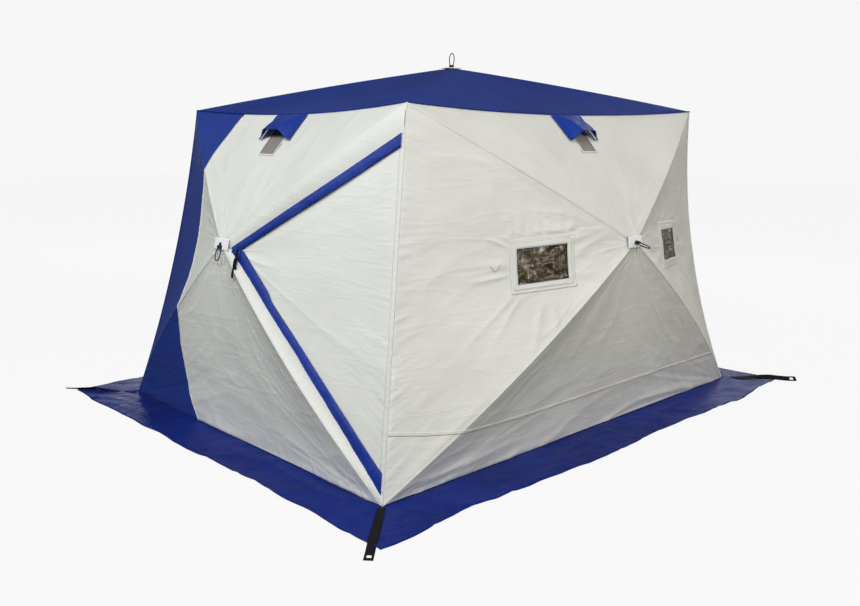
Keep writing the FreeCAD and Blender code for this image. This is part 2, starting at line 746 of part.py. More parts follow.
def export_all(nodes):
    bad = []
    for obj in doc.Objects:
        if "Invalid" in obj.State or "Error" in obj.State:
            bad.append(obj.Name)
    for name, obj in nodes.items():
        if obj.Shape.isNull() or not obj.Shape.isValid() or not obj.Shape.Solids:
            bad.append(name)
    if bad:
        raise RuntimeError("not valid: " + ", ".join(bad))
    os.makedirs("parts", exist_ok=True)
    for name, obj in nodes.items():
        obj.Label = name
        obj.Shape.exportStep("parts/%s.step" % name)


def report_motion(surfaces):
    """Axes, travels and ratios that the joint list is written from."""
    for name, s in surfaces.items():
        centre = s.apex(size("HubSink"))
        rise = s.bulge - size("HubSink") + size("TipDepth")
        print("HUB", name, [round(c / 1000, 6) for c in centre],
              [round(c, 6) for c in s.w], "rise", round(rise / 1000, 6))
        for index in range(4):
            place, length = rod_frame(s, index)
            axis = s.w.cross(s.rod_direction(index)).normalize()
            print("ROD", name, index, [round(c / 1000, 6) for c in s.pin(index)],
                  [round(c, 6) for c in axis], "length", round(length / 1000, 6),
                  "ratio", round(math.asin(rise / length) / (rise / 1000), 6))
    door = surfaces["door"]
    upper, lower, tip = door_points(door)
    for name, point in (("UPPER", upper), ("LOWER", lower), ("TIP", tip)):
        print("DOOR", name, [round(c / 1000, 6) for c in point])
    for name in ("front", "back", "door", "end"):
        hinge = hood_frame(surfaces[name]).Base
        print("HOOD", name, [round(c / 1000, 6) for c in hinge],
              [round(c, 6) for c in surfaces[name].u])


def build():
    surfaces = make_surfaces()
    nodes = make_fabric(surfaces)
    nodes.update(make_door(surfaces["door"]))
    nodes.update(make_frame(surfaces))
    nodes["snow_skirt"] = make_skirt()
    nodes["anchor_straps"] = make_straps()
    for name in ("front", "back", "door", "end"):
        nodes[name + "_vent_hood"] = make_hood(surfaces[name])
    for name in surfaces:
        nodes[name + "_pull_loop"] = make_loop(surfaces[name])
    doc.recompute()
    export_all(nodes)
    report_motion(surfaces)
    print("nodes", len(nodes))


build()
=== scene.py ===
import math

import bmesh
import bpy
import numpy as np
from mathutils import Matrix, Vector


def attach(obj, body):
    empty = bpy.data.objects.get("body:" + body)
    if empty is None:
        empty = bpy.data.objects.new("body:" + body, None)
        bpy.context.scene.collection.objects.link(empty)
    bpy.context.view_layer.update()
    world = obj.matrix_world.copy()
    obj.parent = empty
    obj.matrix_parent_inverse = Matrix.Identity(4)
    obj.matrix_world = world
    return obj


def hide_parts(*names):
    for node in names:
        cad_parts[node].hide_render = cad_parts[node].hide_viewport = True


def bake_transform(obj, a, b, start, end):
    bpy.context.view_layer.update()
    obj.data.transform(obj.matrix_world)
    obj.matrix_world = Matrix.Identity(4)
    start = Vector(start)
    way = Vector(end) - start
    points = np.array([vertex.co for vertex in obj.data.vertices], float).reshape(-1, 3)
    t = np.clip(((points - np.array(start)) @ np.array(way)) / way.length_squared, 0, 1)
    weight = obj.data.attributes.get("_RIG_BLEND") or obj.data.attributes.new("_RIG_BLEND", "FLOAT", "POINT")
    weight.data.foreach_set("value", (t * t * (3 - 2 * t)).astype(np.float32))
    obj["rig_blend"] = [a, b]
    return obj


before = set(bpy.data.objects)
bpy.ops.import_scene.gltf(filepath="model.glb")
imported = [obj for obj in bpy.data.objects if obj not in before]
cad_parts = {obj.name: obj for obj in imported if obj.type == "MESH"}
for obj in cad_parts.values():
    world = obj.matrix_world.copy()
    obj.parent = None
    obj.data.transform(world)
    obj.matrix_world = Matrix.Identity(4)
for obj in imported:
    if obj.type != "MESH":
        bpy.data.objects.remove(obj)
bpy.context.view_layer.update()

# Looks of the hub-type ice fishing shelter, in metres, in the frame of the CAD model.
ROOT = "shelter_skin"

# ---- sizes shared with the CAD

BASE_L, BASE_W, TOP_L, TOP_W, WALL_H = 3.200, 2.230, 2.500, 1.710, 1.735
FOOT = 1.030
SINK = 0.036
PULL, SAG = 0.055, 0.035
SKIRT = 0.290
WIN_V, WIN_HU, WIN_HV = 0.980, 0.155, 0.087
VENT_HU = 0.060


def unit(v):
    """Unit vector, or one for each row of an array."""
    v = np.asarray(v, float)
    return v / np.maximum(np.linalg.norm(v, axis=-1, keepdims=True), 1e-12)


def clip01(x):
    return np.clip(x, 0, 1)


def move(origin, *steps):
    """Points reached from origin by an amount along each axis: axis, amount, axis, amount."""
    for axis, amount in zip(steps[::2], steps[1::2]):
        origin = origin + axis * np.asarray(amount, float)[..., None]
    return origin


class Surface:
    """One wall or the roof: a trapezoid pushed out into a pyramid by its hub."""

    def __init__(self, name, origin, u, v, base, top, low, high, foot, bulge, bows):
        self.name = name
        self.o, self.u, self.v = (np.array(x, float) for x in (origin, u, v))
        self.w = np.cross(self.u, self.v)
        self.foot, self.bulge, self.bows = foot, bulge, bows
        self.flat = np.array([(-base, low), (base, low), (top, high), (-top, high)])
        self.corners = [self.at(a, b) for a, b in self.flat]
        self.apex = self.at(0, foot, bulge)
        self.pulls = [np.zeros(3) for _ in range(4)]

    def at(self, u, v, w=0.0):
        return move(self.o, self.u, u, self.v, v, self.w, w)

    def local(self, p):
        d = np.asarray(p, float) - self.o
        return d @ self.u, d @ self.v, d @ self.w

    def rod(self, i, t):
        """Fabric line over rod i, from its corner (t = 0) to the hub (t = 1)."""
        i %= 4
        t = np.asarray(t, float)[..., None]
        e = self.corners[i]
        return e + (self.apex - e) * t + self.w * self.bows[i] * 4 * t * (1 - t)

    def skin(self, i, s, t):
        """Point of panel i: s runs along its outer seam, t from that seam to the hub."""
        s, t = np.broadcast_arrays(np.asarray(s, float), np.asarray(t, float))
        a, b = self.rod(i, t), self.rod(i + 1, t)
        arch = (4 * s * (1 - s))[..., None]
        under_hood = i % 4 == 2 and self.name != "roof"
        fall = (np.clip(1 - t, 0, 1) ** (2.25 if under_hood else 1.3))[..., None]
        bow = 0.5 * (self.bows[i % 4] + self.bows[(i + 1) % 4]) * (0.5 if under_hood else 0.9)
        hollow = (4 * t * (1 - t))[..., None] * arch * bow
        flat = a * (1 - s)[..., None] + b * s[..., None]
        return flat + self.pulls[i % 4] * arch * fall - self.w * hollow

    def find(self, u, v):
        """Panel, s and t under wall points u, v."""
        u, v = np.broadcast_arrays(u, v)
        x, y = u, v - self.foot
        e = self.flat - (0, self.foot)
        f = np.roll(e, -1, 0)
        det = e[:, 0] * f[:, 1] - e[:, 1] * f[:, 0]
        for _ in range(5):
            p = (x[..., None] * f[:, 1] - y[..., None] * f[:, 0]) / det
            q = (e[:, 0] * y[..., None] - e[:, 1] * x[..., None]) / det
            panel = np.argmax(np.minimum(p, q), -1)
            p, q = (np.take_along_axis(a, panel[..., None], -1)[..., 0] for a in (p, q))
            total = np.maximum(p + q, 1e-9)
            s, t = q / total, 1 - total
            pu, pv, _ = self.local(self.place(panel, s, t, self.skin))
            x, y = x + (u - pu), y + (v - pv)
        return panel, s, t

    def cloth(self, i, s, t):
        """Point of panel i with its folds."""
        s, t = np.broadcast_arrays(np.asarray(s, float), np.asarray(t, float))
        p, n = self.normal(self.skin, i, s, t)
        return move(p, n, wrinkles(self, i, s, t))

    def normal(self, shape, i, s, t, e=0.004):
        """Point of skin or cloth, and the outward normal there."""
        p = shape(i, s, t)
        n = unit(np.cross(shape(i, s + e, t) - p, shape(i, s, t + e) - p))
        return p, n * np.where(n @ self.w < 0, -1.0, 1.0)[..., None]

    def place(self, panel, s, t, shape):
        """Points of skin or cloth, each on its own panel."""
        pos = np.zeros(s.shape + (3,))
        for i in range(4):
            m = panel == i
            if m.any():
                pos[m] = shape(i, s[m], t[m])
        return pos

    def drop(self, u, v, lift=0.0):
        """Point on the fabric over wall point u, v, raised by lift, and its hub share."""
        u, v, e = np.asarray(u, float), np.asarray(v, float), 0.006
        spots = [self.find(u + du, v + dv) for du, dv in ((0, 0), (e, 0), (0, e))]
        p, pu, pv = (self.place(*spot, self.cloth) for spot in spots)
        n = unit(np.cross(pu - p, pv - p))
        return move(p, n, lift), clip01(spots[0][2])


# Slack of each corner seam, by the sides of the plan it stands on.
CORNER_PULL = {(True, False): 0.062, (True, True): PULL, (False, True): 0.035}


def make_surfaces():
    half = {"front": (BASE_L / 2, TOP_L / 2, BASE_W / 2, TOP_W / 2, 0.332, (0, -1, 0)),
            "back": (BASE_L / 2, TOP_L / 2, BASE_W / 2, TOP_W / 2, 0.332, (0, 1, 0)),
            "door": (BASE_W / 2, TOP_W / 2, BASE_L / 2, TOP_L / 2, 0.285, (-1, 0, 0)),
            "end": (BASE_W / 2, TOP_W / 2, BASE_L / 2, TOP_L / 2, 0.285, (1, 0, 0))}
    out = {}
    for name, (base, top, reach, top_reach, bulge, side) in half.items():
        lean = math.atan2(reach - top_reach, WALL_H)
        side = np.array(side, float)
        v = np.array((0, 0, math.cos(lean))) - side * math.sin(lean)
        u = np.array((-side[1], side[0], 0))
        s = Surface(name, side * reach, u, v, base, top, 0.006, WALL_H / math.cos(lean),
                    FOOT, bulge, (0.060, 0.060, 0.020, 0.020))
        s.pulls[2] = -side * PULL - np.array((0, 0, SAG))
        for i, along in ((1, u), (3, -u)):
            corner = s.corners[i]
            if corner[0] > 0 or corner[1] > 0:
                s.pulls[i] = (-side - along) * CORNER_PULL[corner[0] > 0, corner[1] > 0]
        out[name] = s
    roof = Surface("roof", (0, 0, WALL_H), (1, 0, 0), (0, 1, 0), TOP_L / 2, TOP_L / 2,
                   -TOP_W / 2, TOP_W / 2, 0, 0.246, (0.010,) * 4)
    roof.pulls = [out[n].pulls[2].copy() for n in ("front", "end", "back", "door")]
    out["roof"] = roof
    return out


WALLS = ("front", "back", "door", "end")
SURF = make_surfaces()

# ---- smooth noise


def smooth_noise(x, y, seed, n=64):
    """Value noise with a unit cell, between -1 and 1."""
    g = np.random.default_rng(seed).uniform(-1, 1, (n, n))
    x, y = np.broadcast_arrays(np.asarray(x, float), np.asarray(y, float))
    xi, yi = np.floor(x).astype(int), np.floor(y).astype(int)
    fx, fy = x - xi, y - yi
    fx, fy = fx * fx * (3 - 2 * fx), fy * fy * (3 - 2 * fy)
    a, b = g[xi % n, yi % n], g[(xi + 1) % n, yi % n]
    c, d = g[xi % n, (yi + 1) % n], g[(xi + 1) % n, (yi + 1) % n]
    return (a * (1 - fx) + b * fx) * (1 - fy) + (c * (1 - fx) + d * fx) * fy


def ridges(x, y, seed, mean=0.0):
    """Noise folded into soft creases, between 0 and 1, less their mean."""
    return (1 - np.abs(smooth_noise(x, y, seed))) ** 3 - mean


# ---- meshes

def new_object(name, verts, faces, material, uv, smooth=True):
    mesh = bpy.data.meshes.new(name)
    mesh.from_pydata([tuple(v) for v in verts], [], [tuple(f) for f in faces])
    mesh.update()
    obj = bpy.data.objects.new(name, mesh)
    bpy.context.scene.collection.objects.link(obj)
    mesh.polygons.foreach_set("use_smooth", [smooth] * len(mesh.polygons))
    mesh.materials.append(material)
    corners = np.zeros(len(mesh.loops), int)
    mesh.loops.foreach_get("vertex_index", corners)
    for layer, values in zip(("flat", "panel"), uv):
        data = mesh.uv_layers.new(name=layer).data
        data.foreach_set("uv", np.asarray(values, float)[corners].ravel())
    return obj


def pairs(a, b):
    """Two arrays as the rows of a uv layer."""
    return np.stack(np.broadcast_arrays(a, b), -1).reshape(-1, 2)


def grid_faces(rows, cols, ring=False, tube=False):
    """Faces of a grid; a ring joins its last row to the first, a tube its columns."""
    faces = []
    for r in range(rows if ring else rows - 1):
        below, above = r * cols, (r + 1) % rows * cols
        for c in range(cols if tube else cols - 1):
            d = (c + 1) % cols
            faces.append((below + c, below + d, above + d, above + c))
    return faces


def bake_modifiers(obj):
    """Apply the modifiers and keep the result as the mesh."""
    graph = bpy.context.evaluated_depsgraph_get()
    mesh = bpy.data.meshes.new_from_object(obj.evaluated_get(graph), depsgraph=graph)
    obj.modifiers.clear()
    obj.data = mesh


def thicken(obj, amount, offset=-1.0):
    m = obj.modifiers.new("thick", "SOLIDIFY")
    m.thickness, m.offset, m.use_even_offset = amount, offset, False
    bake_modifiers(obj)


def soften(obj, levels):
    m = obj.modifiers.new("soft", "SUBSURF")
    m.levels = m.render_levels = levels
    bake_modifiers(obj)


def put_weights(obj, weights):
    layer = obj.data.attributes.new("hub_share", "FLOAT", "POINT")
    layer.data.foreach_set("value", np.asarray(weights, np.float32))


def drop_loose(obj):
    bm = bmesh.new()
    bm.from_mesh(obj.data)
    loose = [v for v in bm.verts if not v.link_faces]
    bmesh.ops.delete(bm, geom=loose, context="VERTS")
    bm.to_mesh(obj.data)
    bm.free()


def face_out(obj, direction):
    """Turn the faces over if they look away from direction."""
    mesh = obj.data
    normals = np.zeros(len(mesh.polygons) * 3)
    mesh.polygons.foreach_get("normal", normals)
    if (normals.reshape(-1, 3) @ np.asarray(direction)).sum() < 0:
        mesh.flip_normals()
    mesh.update()


def cloth_piece(name, p, material, flat, panel=None, out=None, share=None, thick=0.0,
                offset=1.0, ring=False, faces=None):
    """Piece over a grid of points: uv layers, faces towards out, hub shares, thickness."""
    whole = faces is None
    if whole:
        faces = grid_faces(*p.shape[:2], ring=ring)
    obj = new_object(name, p.reshape(-1, 3), faces, material,
                     (pairs(*flat), pairs(*(panel or flat))))
    if share is not None:
        put_weights(obj, np.ravel(share))
    if not whole:
        drop_loose(obj)
    if out is not None:
        face_out(obj, out)
    if thick:
        thicken(obj, thick, offset)
    return obj


def name_piece(node):
    if node:
        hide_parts(node)


def sew(obj, surface, node=None):
    """Piece of the fabric: it goes with its hub by its share of the way from seam to hub."""
    name_piece(node)
    mesh = obj.data
    share = np.zeros(len(mesh.vertices), np.float32)
    mesh.attributes["hub_share"].data.foreach_get("value", share)
    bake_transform(obj, ROOT, surface.name + "_hub_unit", tuple(surface.at(0, 0)), tuple(surface.apex))
    mesh.attributes["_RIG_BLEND"].data.foreach_set("value", share)


def fix(obj, body, node=None):
    """Piece that rides on one body."""
    name_piece(node)
    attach(obj, body)


# ---- materials

def srgb(*rgb):
    def linear(c):
        c /= 255.0
        return c / 12.92 if c <= 0.04045 else ((c + 0.055) / 1.055) ** 2.4
    return (*map(linear, rgb), 1.0)


class Nodes:
    """Short hand for building one node tree."""

    def __init__(self, name):
        self.mat = bpy.data.materials.new(name)
        self.mat.use_nodes = True
        self.tree = self.mat.node_tree
        self.bsdf = self.tree.nodes["Principled BSDF"]

    def feed(self, value, socket):
        """Link a socket, or set it to a constant."""
        if isinstance(value, bpy.types.NodeSocket):
            self.tree.links.new(value, socket)
        else:
            socket.default_value = value

    def add(self, kind, **settings):
        node = self.tree.nodes.new(kind)
        for key, value in settings.items():
            if key in node.bl_rna.properties:
                setattr(node, key, value)
            else:
                self.feed(value, node.inputs[key.replace("_", " ")])
        return node

    def shader(self, **values):
        """Feed the shader's own sockets, and give the finished material."""
        for key, value in values.items():
            self.feed(value, self.bsdf.inputs[key.replace("_", " ")])
        return self.mat

    def math(self, op, a, b=None):
        node = self.add("ShaderNodeMath", operation=op)
        self.feed(a, node.inputs[0])
        if b is not None:
            self.feed(b, node.inputs[1])
        return node.outputs[0]

    def decay(self, value, rate):
        return self.math("POWER", 2.718, self.math("MULTIPLY", value, -rate))

    def mix(self, factor, a, b):
        node = self.add("ShaderNodeMix", data_type="RGBA")
        for socket, value in ((0, factor), (6, a), (7, b)):
            self.feed(value, node.inputs[socket])
        return node.outputs[2]

    def bump(self, height, strength, distance, normal=None):
        node = self.add("ShaderNodeBump", Strength=strength, Distance=distance, Height=height)
        if normal is not None:
            self.feed(normal, node.inputs["Normal"])
        return node.outputs["Normal"]

    def coords(self, layer=None, scale=(1, 1, 1), turn=0.0):
        """Coordinates from a uv layer, or else the object's own."""
        if layer:
            source = self.add("ShaderNodeUVMap", uv_map=layer).outputs[0]
        else:
            source = self.add("ShaderNodeTexCoord").outputs["Object"]
        return self.add("ShaderNodeMapping", Scale=scale, Rotation=(0, 0, turn),
                        Vector=source).outputs[0]

    def split(self, vector):
        node = self.add("ShaderNodeSeparateXYZ")
        self.feed(vector, node.inputs[0])
        return node.outputs

    def noise(self, vector, scale, detail=4.0, roughness=0.55, distortion=0.0):
        return self.add("ShaderNodeTexNoise", Scale=scale, Detail=detail, Roughness=roughness,
                        Distortion=distortion, Vector=vector).outputs[0]

    def weave(self, vector, scale_x, scale_y, distortion=0.0):
        """Plain weave: two crossed sets of threads."""
        threads = [self.add("ShaderNodeTexWave", wave_type="BANDS", bands_direction=axis,
                            Scale=scale, Distortion=distortion, Vector=vector).outputs["Fac"]
                   for axis, scale in (("X", scale_x), ("Y", scale_y))]
        return self.math("MULTIPLY", *threads)

    def ramp(self, value, *stops):
        """Grey ramp: each stop is a position and a level."""
        node = self.add("ShaderNodeValToRGB")
        items = node.color_ramp.elements
        for i, (pos, level) in enumerate(stops):
            item = items[i] if i < 2 else items.new(pos)
            item.position, item.color = pos, (level, level, level, 1)
        self.feed(value, node.inputs[0])
        return node.outputs[0]


OXFORD_PITCH, MESH_PITCH = 0.0022, 0.0030


def pitch_scale(pitch):
    return 1.0 / pitch / 6.2832 * 3.1416


def cloth_material(name, colour, dark, roughness=0.5, wrinkle=0.5, edge_wrinkle=0.4, gloss=0.3,
                   colour_at=None):
    """Coated oxford cloth: weave, faint blotches, creases, short puckers at the seams."""
    n = Nodes(name)
    flat = n.coords("flat")
    blotch = n.noise(flat, 2.2, 5.0, 0.6)
    base = n.mix(n.ramp(blotch, (0.35, 0.0), (0.68, 1.0)), srgb(*dark), srgb(*colour))
    if colour_at is not None:
        base = colour_at(n, flat, base)
    rough = n.ramp(n.noise(flat, 9.0, 3.0, 0.5), (0.3, roughness - 0.07), (0.7, roughness + 0.07))
    pucker = n.noise(n.coords("panel", (30.0, 3.0, 1.0)), 1.0, 2.0, 0.5, 0.25)
    pucker = n.math("MULTIPLY", pucker, n.decay(n.split(n.coords("panel"))[1], 7.0))
    normal = n.bump(pucker, 0.55 * edge_wrinkle, 0.018)
    crease = n.noise(n.coords("flat", (5.0, 8.0, 1.0)), 1.0, 3.0, 0.5, 0.8)
    normal = n.bump(crease, 0.30 * wrinkle, 0.020, normal)
    wander = n.noise(n.coords("flat", (1.5, 7.5, 1.0)), 1.0, 3.0, 0.55, 0.3)
    fold = n.decay(n.math("ABSOLUTE", n.math("SUBTRACT", wander, 0.5)), 34.0)
    normal = n.bump(fold, 0.24 * wrinkle, 0.008, normal)
    normal = n.bump(n.noise(flat, 38.0, 3.0, 0.6), 0.12, 0.003, normal)
    threads = pitch_scale(OXFORD_PITCH)
    normal = n.bump(n.weave(flat, threads, threads, 0.3), 0.25, 0.0006, normal)
    return n.shader(Base_Color=base, Roughness=rough, Sheen_Weight=0.03, Sheen_Roughness=0.5,
                    Specular_IOR_Level=gloss, Normal=normal)


BLUE = (34, 60, 142)
BLOCK_TOP = 1.8

# Seam of each colour block: height up the wall and distance from its middle line.
DOOR_BLOCK = [(0.0, 0.394), (0.16, 0.440), (0.45, 0.443), (0.67, 0.406), (0.89, 0.414),
              (1.24, 0.438), (1.40, 0.438), (1.76, 0.430)]
BACK_BLOCK = [(0.0, 0.800), (0.66, 0.830), (1.42, 0.800), (1.76, 0.640)]


def blue_block(side, stops):
    """Colour block of a wall: blue on the far side of a seam that runs up the wall."""
    def paint(n, flat, base):
        across, up, _ = n.split(flat)
        edge = n.ramp(n.math("DIVIDE", up, BLOCK_TOP), *((p / BLOCK_TOP, q) for p, q in stops))
        past = n.math("GREATER_THAN", n.math("MULTIPLY", across, side), edge)
        return n.mix(past, base, srgb(*BLUE))
    return paint


def hard_material(name, colour, roughness, metallic, grain):
    n = Nodes(name)
    vector = n.coords()
    spots = n.noise(vector, grain, 4.0, 0.6)
    dark = tuple(c * 0.8 for c in srgb(*colour)[:3]) + (1,)
    rough = n.ramp(spots, (0.3, roughness - 0.08), (0.7, roughness + 0.08))
    return n.shader(Base_Color=n.mix(spots, dark, srgb(*colour)), Roughness=rough,
                    Metallic=metallic,
                    Normal=n.bump(n.noise(vector, grain * 6, 2.0), 0.15, 0.0006))


def rod_material():
    """Pultruded rod: fine streaks round its length, slightly glossy."""
    n = Nodes("glassfibre_rod")
    streak = n.noise(n.coords(), 160.0, 5.0, 0.7)
    return n.shader(Base_Color=n.mix(streak, srgb(34, 35, 38), srgb(62, 63, 66)),
                    Roughness=0.35, Normal=n.bump(streak, 0.2, 0.0008))


def webbing_material():
    """Woven nylon webbing: ribs across the strap."""
    n = Nodes("black_webbing")
    weave = n.weave(n.coords("flat"), 140.0, 220.0)
    return n.shader(Base_Color=n.mix(weave, srgb(8, 9, 12), srgb(20, 21, 26)), Roughness=0.7,
                    Specular_IOR_Level=0.2, Normal=n.bump(weave, 0.5, 0.0012))


def film_material(name, deep, shallow, glare):
    """Clear vinyl that has gone creased. Its colour is painted shade: the dark of the cabin behind it,
    lighter and darker over its creases, with a painted glint streak across it.
    """
    n = Nodes(name)
    fold = n.noise(n.coords("flat", (9.0, 5.0, 1.0)), 1.4, 3.0, 0.6, 1.6)
    fine = n.noise(n.coords("flat"), 45.0, 4.0, 0.65, 0.5)
    # Painted glint: a slanted streak of the glare colour painted over the film.
    glint = n.noise(n.coords("flat", (5.0, 26.0, 1.0), math.radians(38)), 1.0, 2.0, 0.5, 0.7)
    streak = n.ramp(glint, (0.56, 0), (0.62, 1), (0.70, 0))
    # Painted shade of the dark cabin behind the film, darker and lighter over the creases.
    tone = n.mix(fold, srgb(*deep), srgb(*shallow))
    return n.shader(Base_Color=n.mix(streak, tone, srgb(*glare)), Roughness=0.16,
                    Specular_IOR_Level=0.65, Alpha=0.78,
                    Normal=n.bump(fine, 0.45, 0.004, n.bump(fold, 0.75, 0.030)))


def mesh_material():
    """Fine insect mesh with a light film behind it."""
    n = Nodes("vent_mesh")
    flat = n.coords("flat")
    threads = pitch_scale(MESH_PITCH)
    weave = n.weave(flat, threads, threads, 0.3)
    shade = n.mix(n.noise(flat, 14.0, 3.0, 0.6), srgb(158, 150, 144), srgb(206, 200, 196))
    return n.shader(Base_Color=n.mix(weave, srgb(132, 124, 118), shade), Roughness=0.4,
                    Normal=n.bump(weave, 0.4, 0.001))


def cord_material():
    n = Nodes("black_cord")
    braid = n.add("ShaderNodeTexVoronoi", Scale=700.0, Vector=n.coords()).outputs["Distance"]
    return n.shader(Base_Color=n.mix(braid, srgb(26, 26, 30), srgb(8, 8, 10)), Roughness=0.6,
                    Normal=n.bump(braid, 0.6, 0.0012))


def floor_material():
    """Pale studio sweep: bright to the eye, with only a faint contact shadow."""
    n = Nodes("studio_floor")
    haze = n.noise(n.coords(), 0.6, 2.0)
    seen = n.add("ShaderNodeLightPath").outputs["Is Camera Ray"]
    return n.shader(Base_Color=n.mix(haze, (0.030, 0.030, 0.030, 1), (0.036, 0.036, 0.036, 1)),
                    Roughness=0.9, Specular_IOR_Level=0.0, Emission_Color=(1, 1, 1, 1),
                    Emission_Strength=n.math("MULTIPLY", seen, 0.915))


# Name, colour and dark colour; then roughness, wrinkle, edge wrinkle and gloss.
CREAM_TONES = ((236, 236, 230), (228, 228, 221))
CLOTHS = {"blue": ("cloth_blue", BLUE, (28, 50, 126), 0.66, 0.35, 0.5, 0.03),
          "band": ("cloth_band", (24, 58, 156), (18, 46, 134), 0.42, 0.9, 0.6),
          "patch": ("cloth_patch", (255, 255, 255), (250, 250, 252), 0.5, 0.2, 0.1),
          "hood": ("cloth_hood", (22, 58, 156), (18, 48, 136), 0.42, 0.4, 0.5),
          "skirt": ("cloth_skirt", (8, 38, 128), (6, 29, 104), 0.50, 1.1, 0.6, 0.10),
          "piping": ("piping_cream", (228, 226, 212), (214, 212, 198), 0.6, 0.1, 0.0),
          "cream": ("cloth_cream", *CREAM_TONES)}
# Name, colour, roughness, metallic and grain.
HARD = {"binding": ("binding_lilac", (206, 206, 226), 0.4, 0.0, 300.0),
        "thread": ("thread_white", (216, 214, 206), 0.7, 0.0, 400.0),
        "pink_thread": ("thread_pink", (196, 160, 148), 0.7, 0.0, 400.0),
        "tape_cloth": ("zip_tape", (24, 26, 38), 0.6, 0.0, 500.0),
        "webbing_cad": ("pocket_webbing", (20, 21, 26), 0.7, 0.0, 300.0),
        "moulded": ("moulded_nylon", (20, 20, 22), 0.45, 0.0, 260.0),
        "paint": ("black_casting", (18, 18, 20), 0.38, 0.2, 120.0)}
MAT = {key: cloth_material(*row) for key, row in CLOTHS.items()}
MAT.update({key: hard_material(*row) for key, row in HARD.items()})
MAT.update({"door": cloth_material("cloth_cream_blue", *CREAM_TONES,
                                   colour_at=blue_block(-1.0, DOOR_BLOCK)),
            "back": cloth_material("cloth_back_blue", *CREAM_TONES,
                                   colour_at=blue_block(1.0, BACK_BLOCK)),
            # The two window films are one film painted two ways: the bright copy has paler painted cabin
            # shade and a brighter painted glint.
            "film_1": film_material("window_film", (40, 30, 22), (92, 76, 38), (122, 110, 104)),
            "film_2": film_material("window_film_bright", (104, 94, 80), (158, 150, 140),
                                    (206, 202, 204)),
            "webbing": webbing_material(), "mesh": mesh_material(), "cord": cord_material(),
            "glassfibre": rod_material(), "floor": floor_material()})


# ---- wall and roof fabric

# Middle of each window along its wall, and how far its sides lean.
WINDOWS = {"front": ((-0.605, 0.11), (0.655, 0.0)), "back": ((-0.605, 0.0), (0.655, 0.0))}
VENT_V, VENT_HV = 1.600, 0.086
WALL_CLOTH = {"front": "cream", "back": "back", "door": "door", "end": "cream", "roof": "blue"}
SLACK = {"front": 11, "back": 23, "door": 37, "end": 51, "roof": 67}
PANEL_END = 0.985          # share of the way to the hub at which the fabric ends
CLOTH_THICK = 0.0008


def panel_size(surface, i):
    """Length of the outer seam and distance from it to the hub."""
    a, b = surface.corners[i % 4], surface.corners[(i + 1) % 4]
    return np.linalg.norm(b - a), np.linalg.norm(surface.apex - (a + b) / 2)


def window_folds(surface, i, s, t, seed):
    """Gathers over each window and rays from its corners."""
    u, v, _ = surface.local(surface.skin(i, s, t))
    h = 0
    for middle, _ in WINDOWS[surface.name]:
        du, dv = np.abs(u - middle), v - WIN_V - WIN_HV - 0.05
        above = np.exp(-np.clip(dv, 0, None) / 0.07) * (dv > 0) * clip01(dv / 0.02)
        gather = ridges(u * 30 + 0.3 * v, v * 2, seed + 12, 0.2)
        h = h + 0.0125 * gather * above * clip01((0.24 - du) / 0.06)
        reach = np.hypot(u - middle, v - WIN_V)
        turn = np.arctan2(v - WIN_V, u - middle)
        star = ridges(turn * 6.5 + 2, reach * 1.5, seed + 13, 0.25)
        ringed = clip01((reach - 0.20) / 0.06) * np.exp(-(reach - 0.2) / 0.18)
        h = h + 0.0135 * star * clip01(ringed) * (dv < 0.01)
    return h


def corner_folds(x, d, length, seed):
    """Fans from the two ground corners and slack along the base."""
    h = 0.0105 * ridges(x * 2.0 - d * 5.0, d * 7.0, seed + 6, 0.25) * np.exp(-d / 0.20)
    for k, corner in enumerate((0.0, length)):
        cx = np.abs(x - corner)
        angle = np.arctan2(d, cx + 0.02)
        reach = np.hypot(cx, d)
        fan = ridges(angle * 11 + 3 * k, reach * 0.8, seed + 3 + k, 0.25)
        near = np.exp(-reach / 0.70) * np.exp(-angle / 0.45) * clip01(reach / 0.12)
        h = h + 0.0165 * fan * near
    return h


def wrinkles(surface, i, s, t):
    """Real folds of the cloth, as a height over the panel; none on its seams."""
    i = i % 4
    seed = SLACK[surface.name] + i * 5
    length, deep = panel_size(surface, i)
    x, d = s * length, t * deep
    rods = np.minimum(s, 1 - s) * length * (1 - t)
    hold = clip01(rods / 0.05) * clip01(d / 0.012)
    hub = deep - d
    patchy = 0.30 + 0.70 * smooth_noise(x * 2.3, d * 3.0, seed + 2) ** 2
    slant = x + 0.22 * d * (1 if i in (0, 3) else -1)
    pucker = ridges(slant * 17, d * 2.6, seed + 1, 0.25)
    fan = ridges(s * 15, hub * 1.3, seed + 9, 0.25)
    h = 0.0060 * smooth_noise(x * 2.1, d * 2.6, seed) * clip01((1 - t) * 3)
    h = h + (0.0016 if i == 2 else 0.0042) * pucker * np.exp(-d / 0.10) * patchy
    h = h + (0.0012 if i in (1, 3) else 0.0004) * fan * np.exp(-hub / 0.30) * clip01(hub / 0.10)
    if surface.name == "roof":
        return h * hold * 0.6
    h = h + 0.0050 * ridges(x * 5.0 + d * 2.5, d * 6.0 - x * 1.5, seed + 8, 0.25) * patchy
    h = h + 0.0032 * ridges(slant * 30, d * 4.0, seed + 15, 0.25) * np.exp(-d / 0.07) * (i != 2)
    if i == 0:
        h = h + corner_folds(x, d, length, seed)
    elif i == 2:
        u, v, _ = surface.local(surface.skin(i, s, t))
        rays = ridges(u / np.maximum(1.95 - v, 0.2) * 13, v * 1.5, seed + 14, 0.25)
        h = h + 0.0026 * rays * clip01((1.50 - v) / 0.05) * np.exp(-np.abs(u) / 0.30)
    else:
        up = clip01((x if i == 1 else length - x) / length)
        across = ridges(x * 4.2 + d * 1.3, d * 1.1, seed + 7, 0.25)
        h = h + 0.0060 * across * (0.35 + 0.65 * np.exp(-up / 0.25)) * np.exp(-d / 0.45)
        if surface.name in WINDOWS:
            h = h + window_folds(surface, i, s, t, seed)
    return h * hold


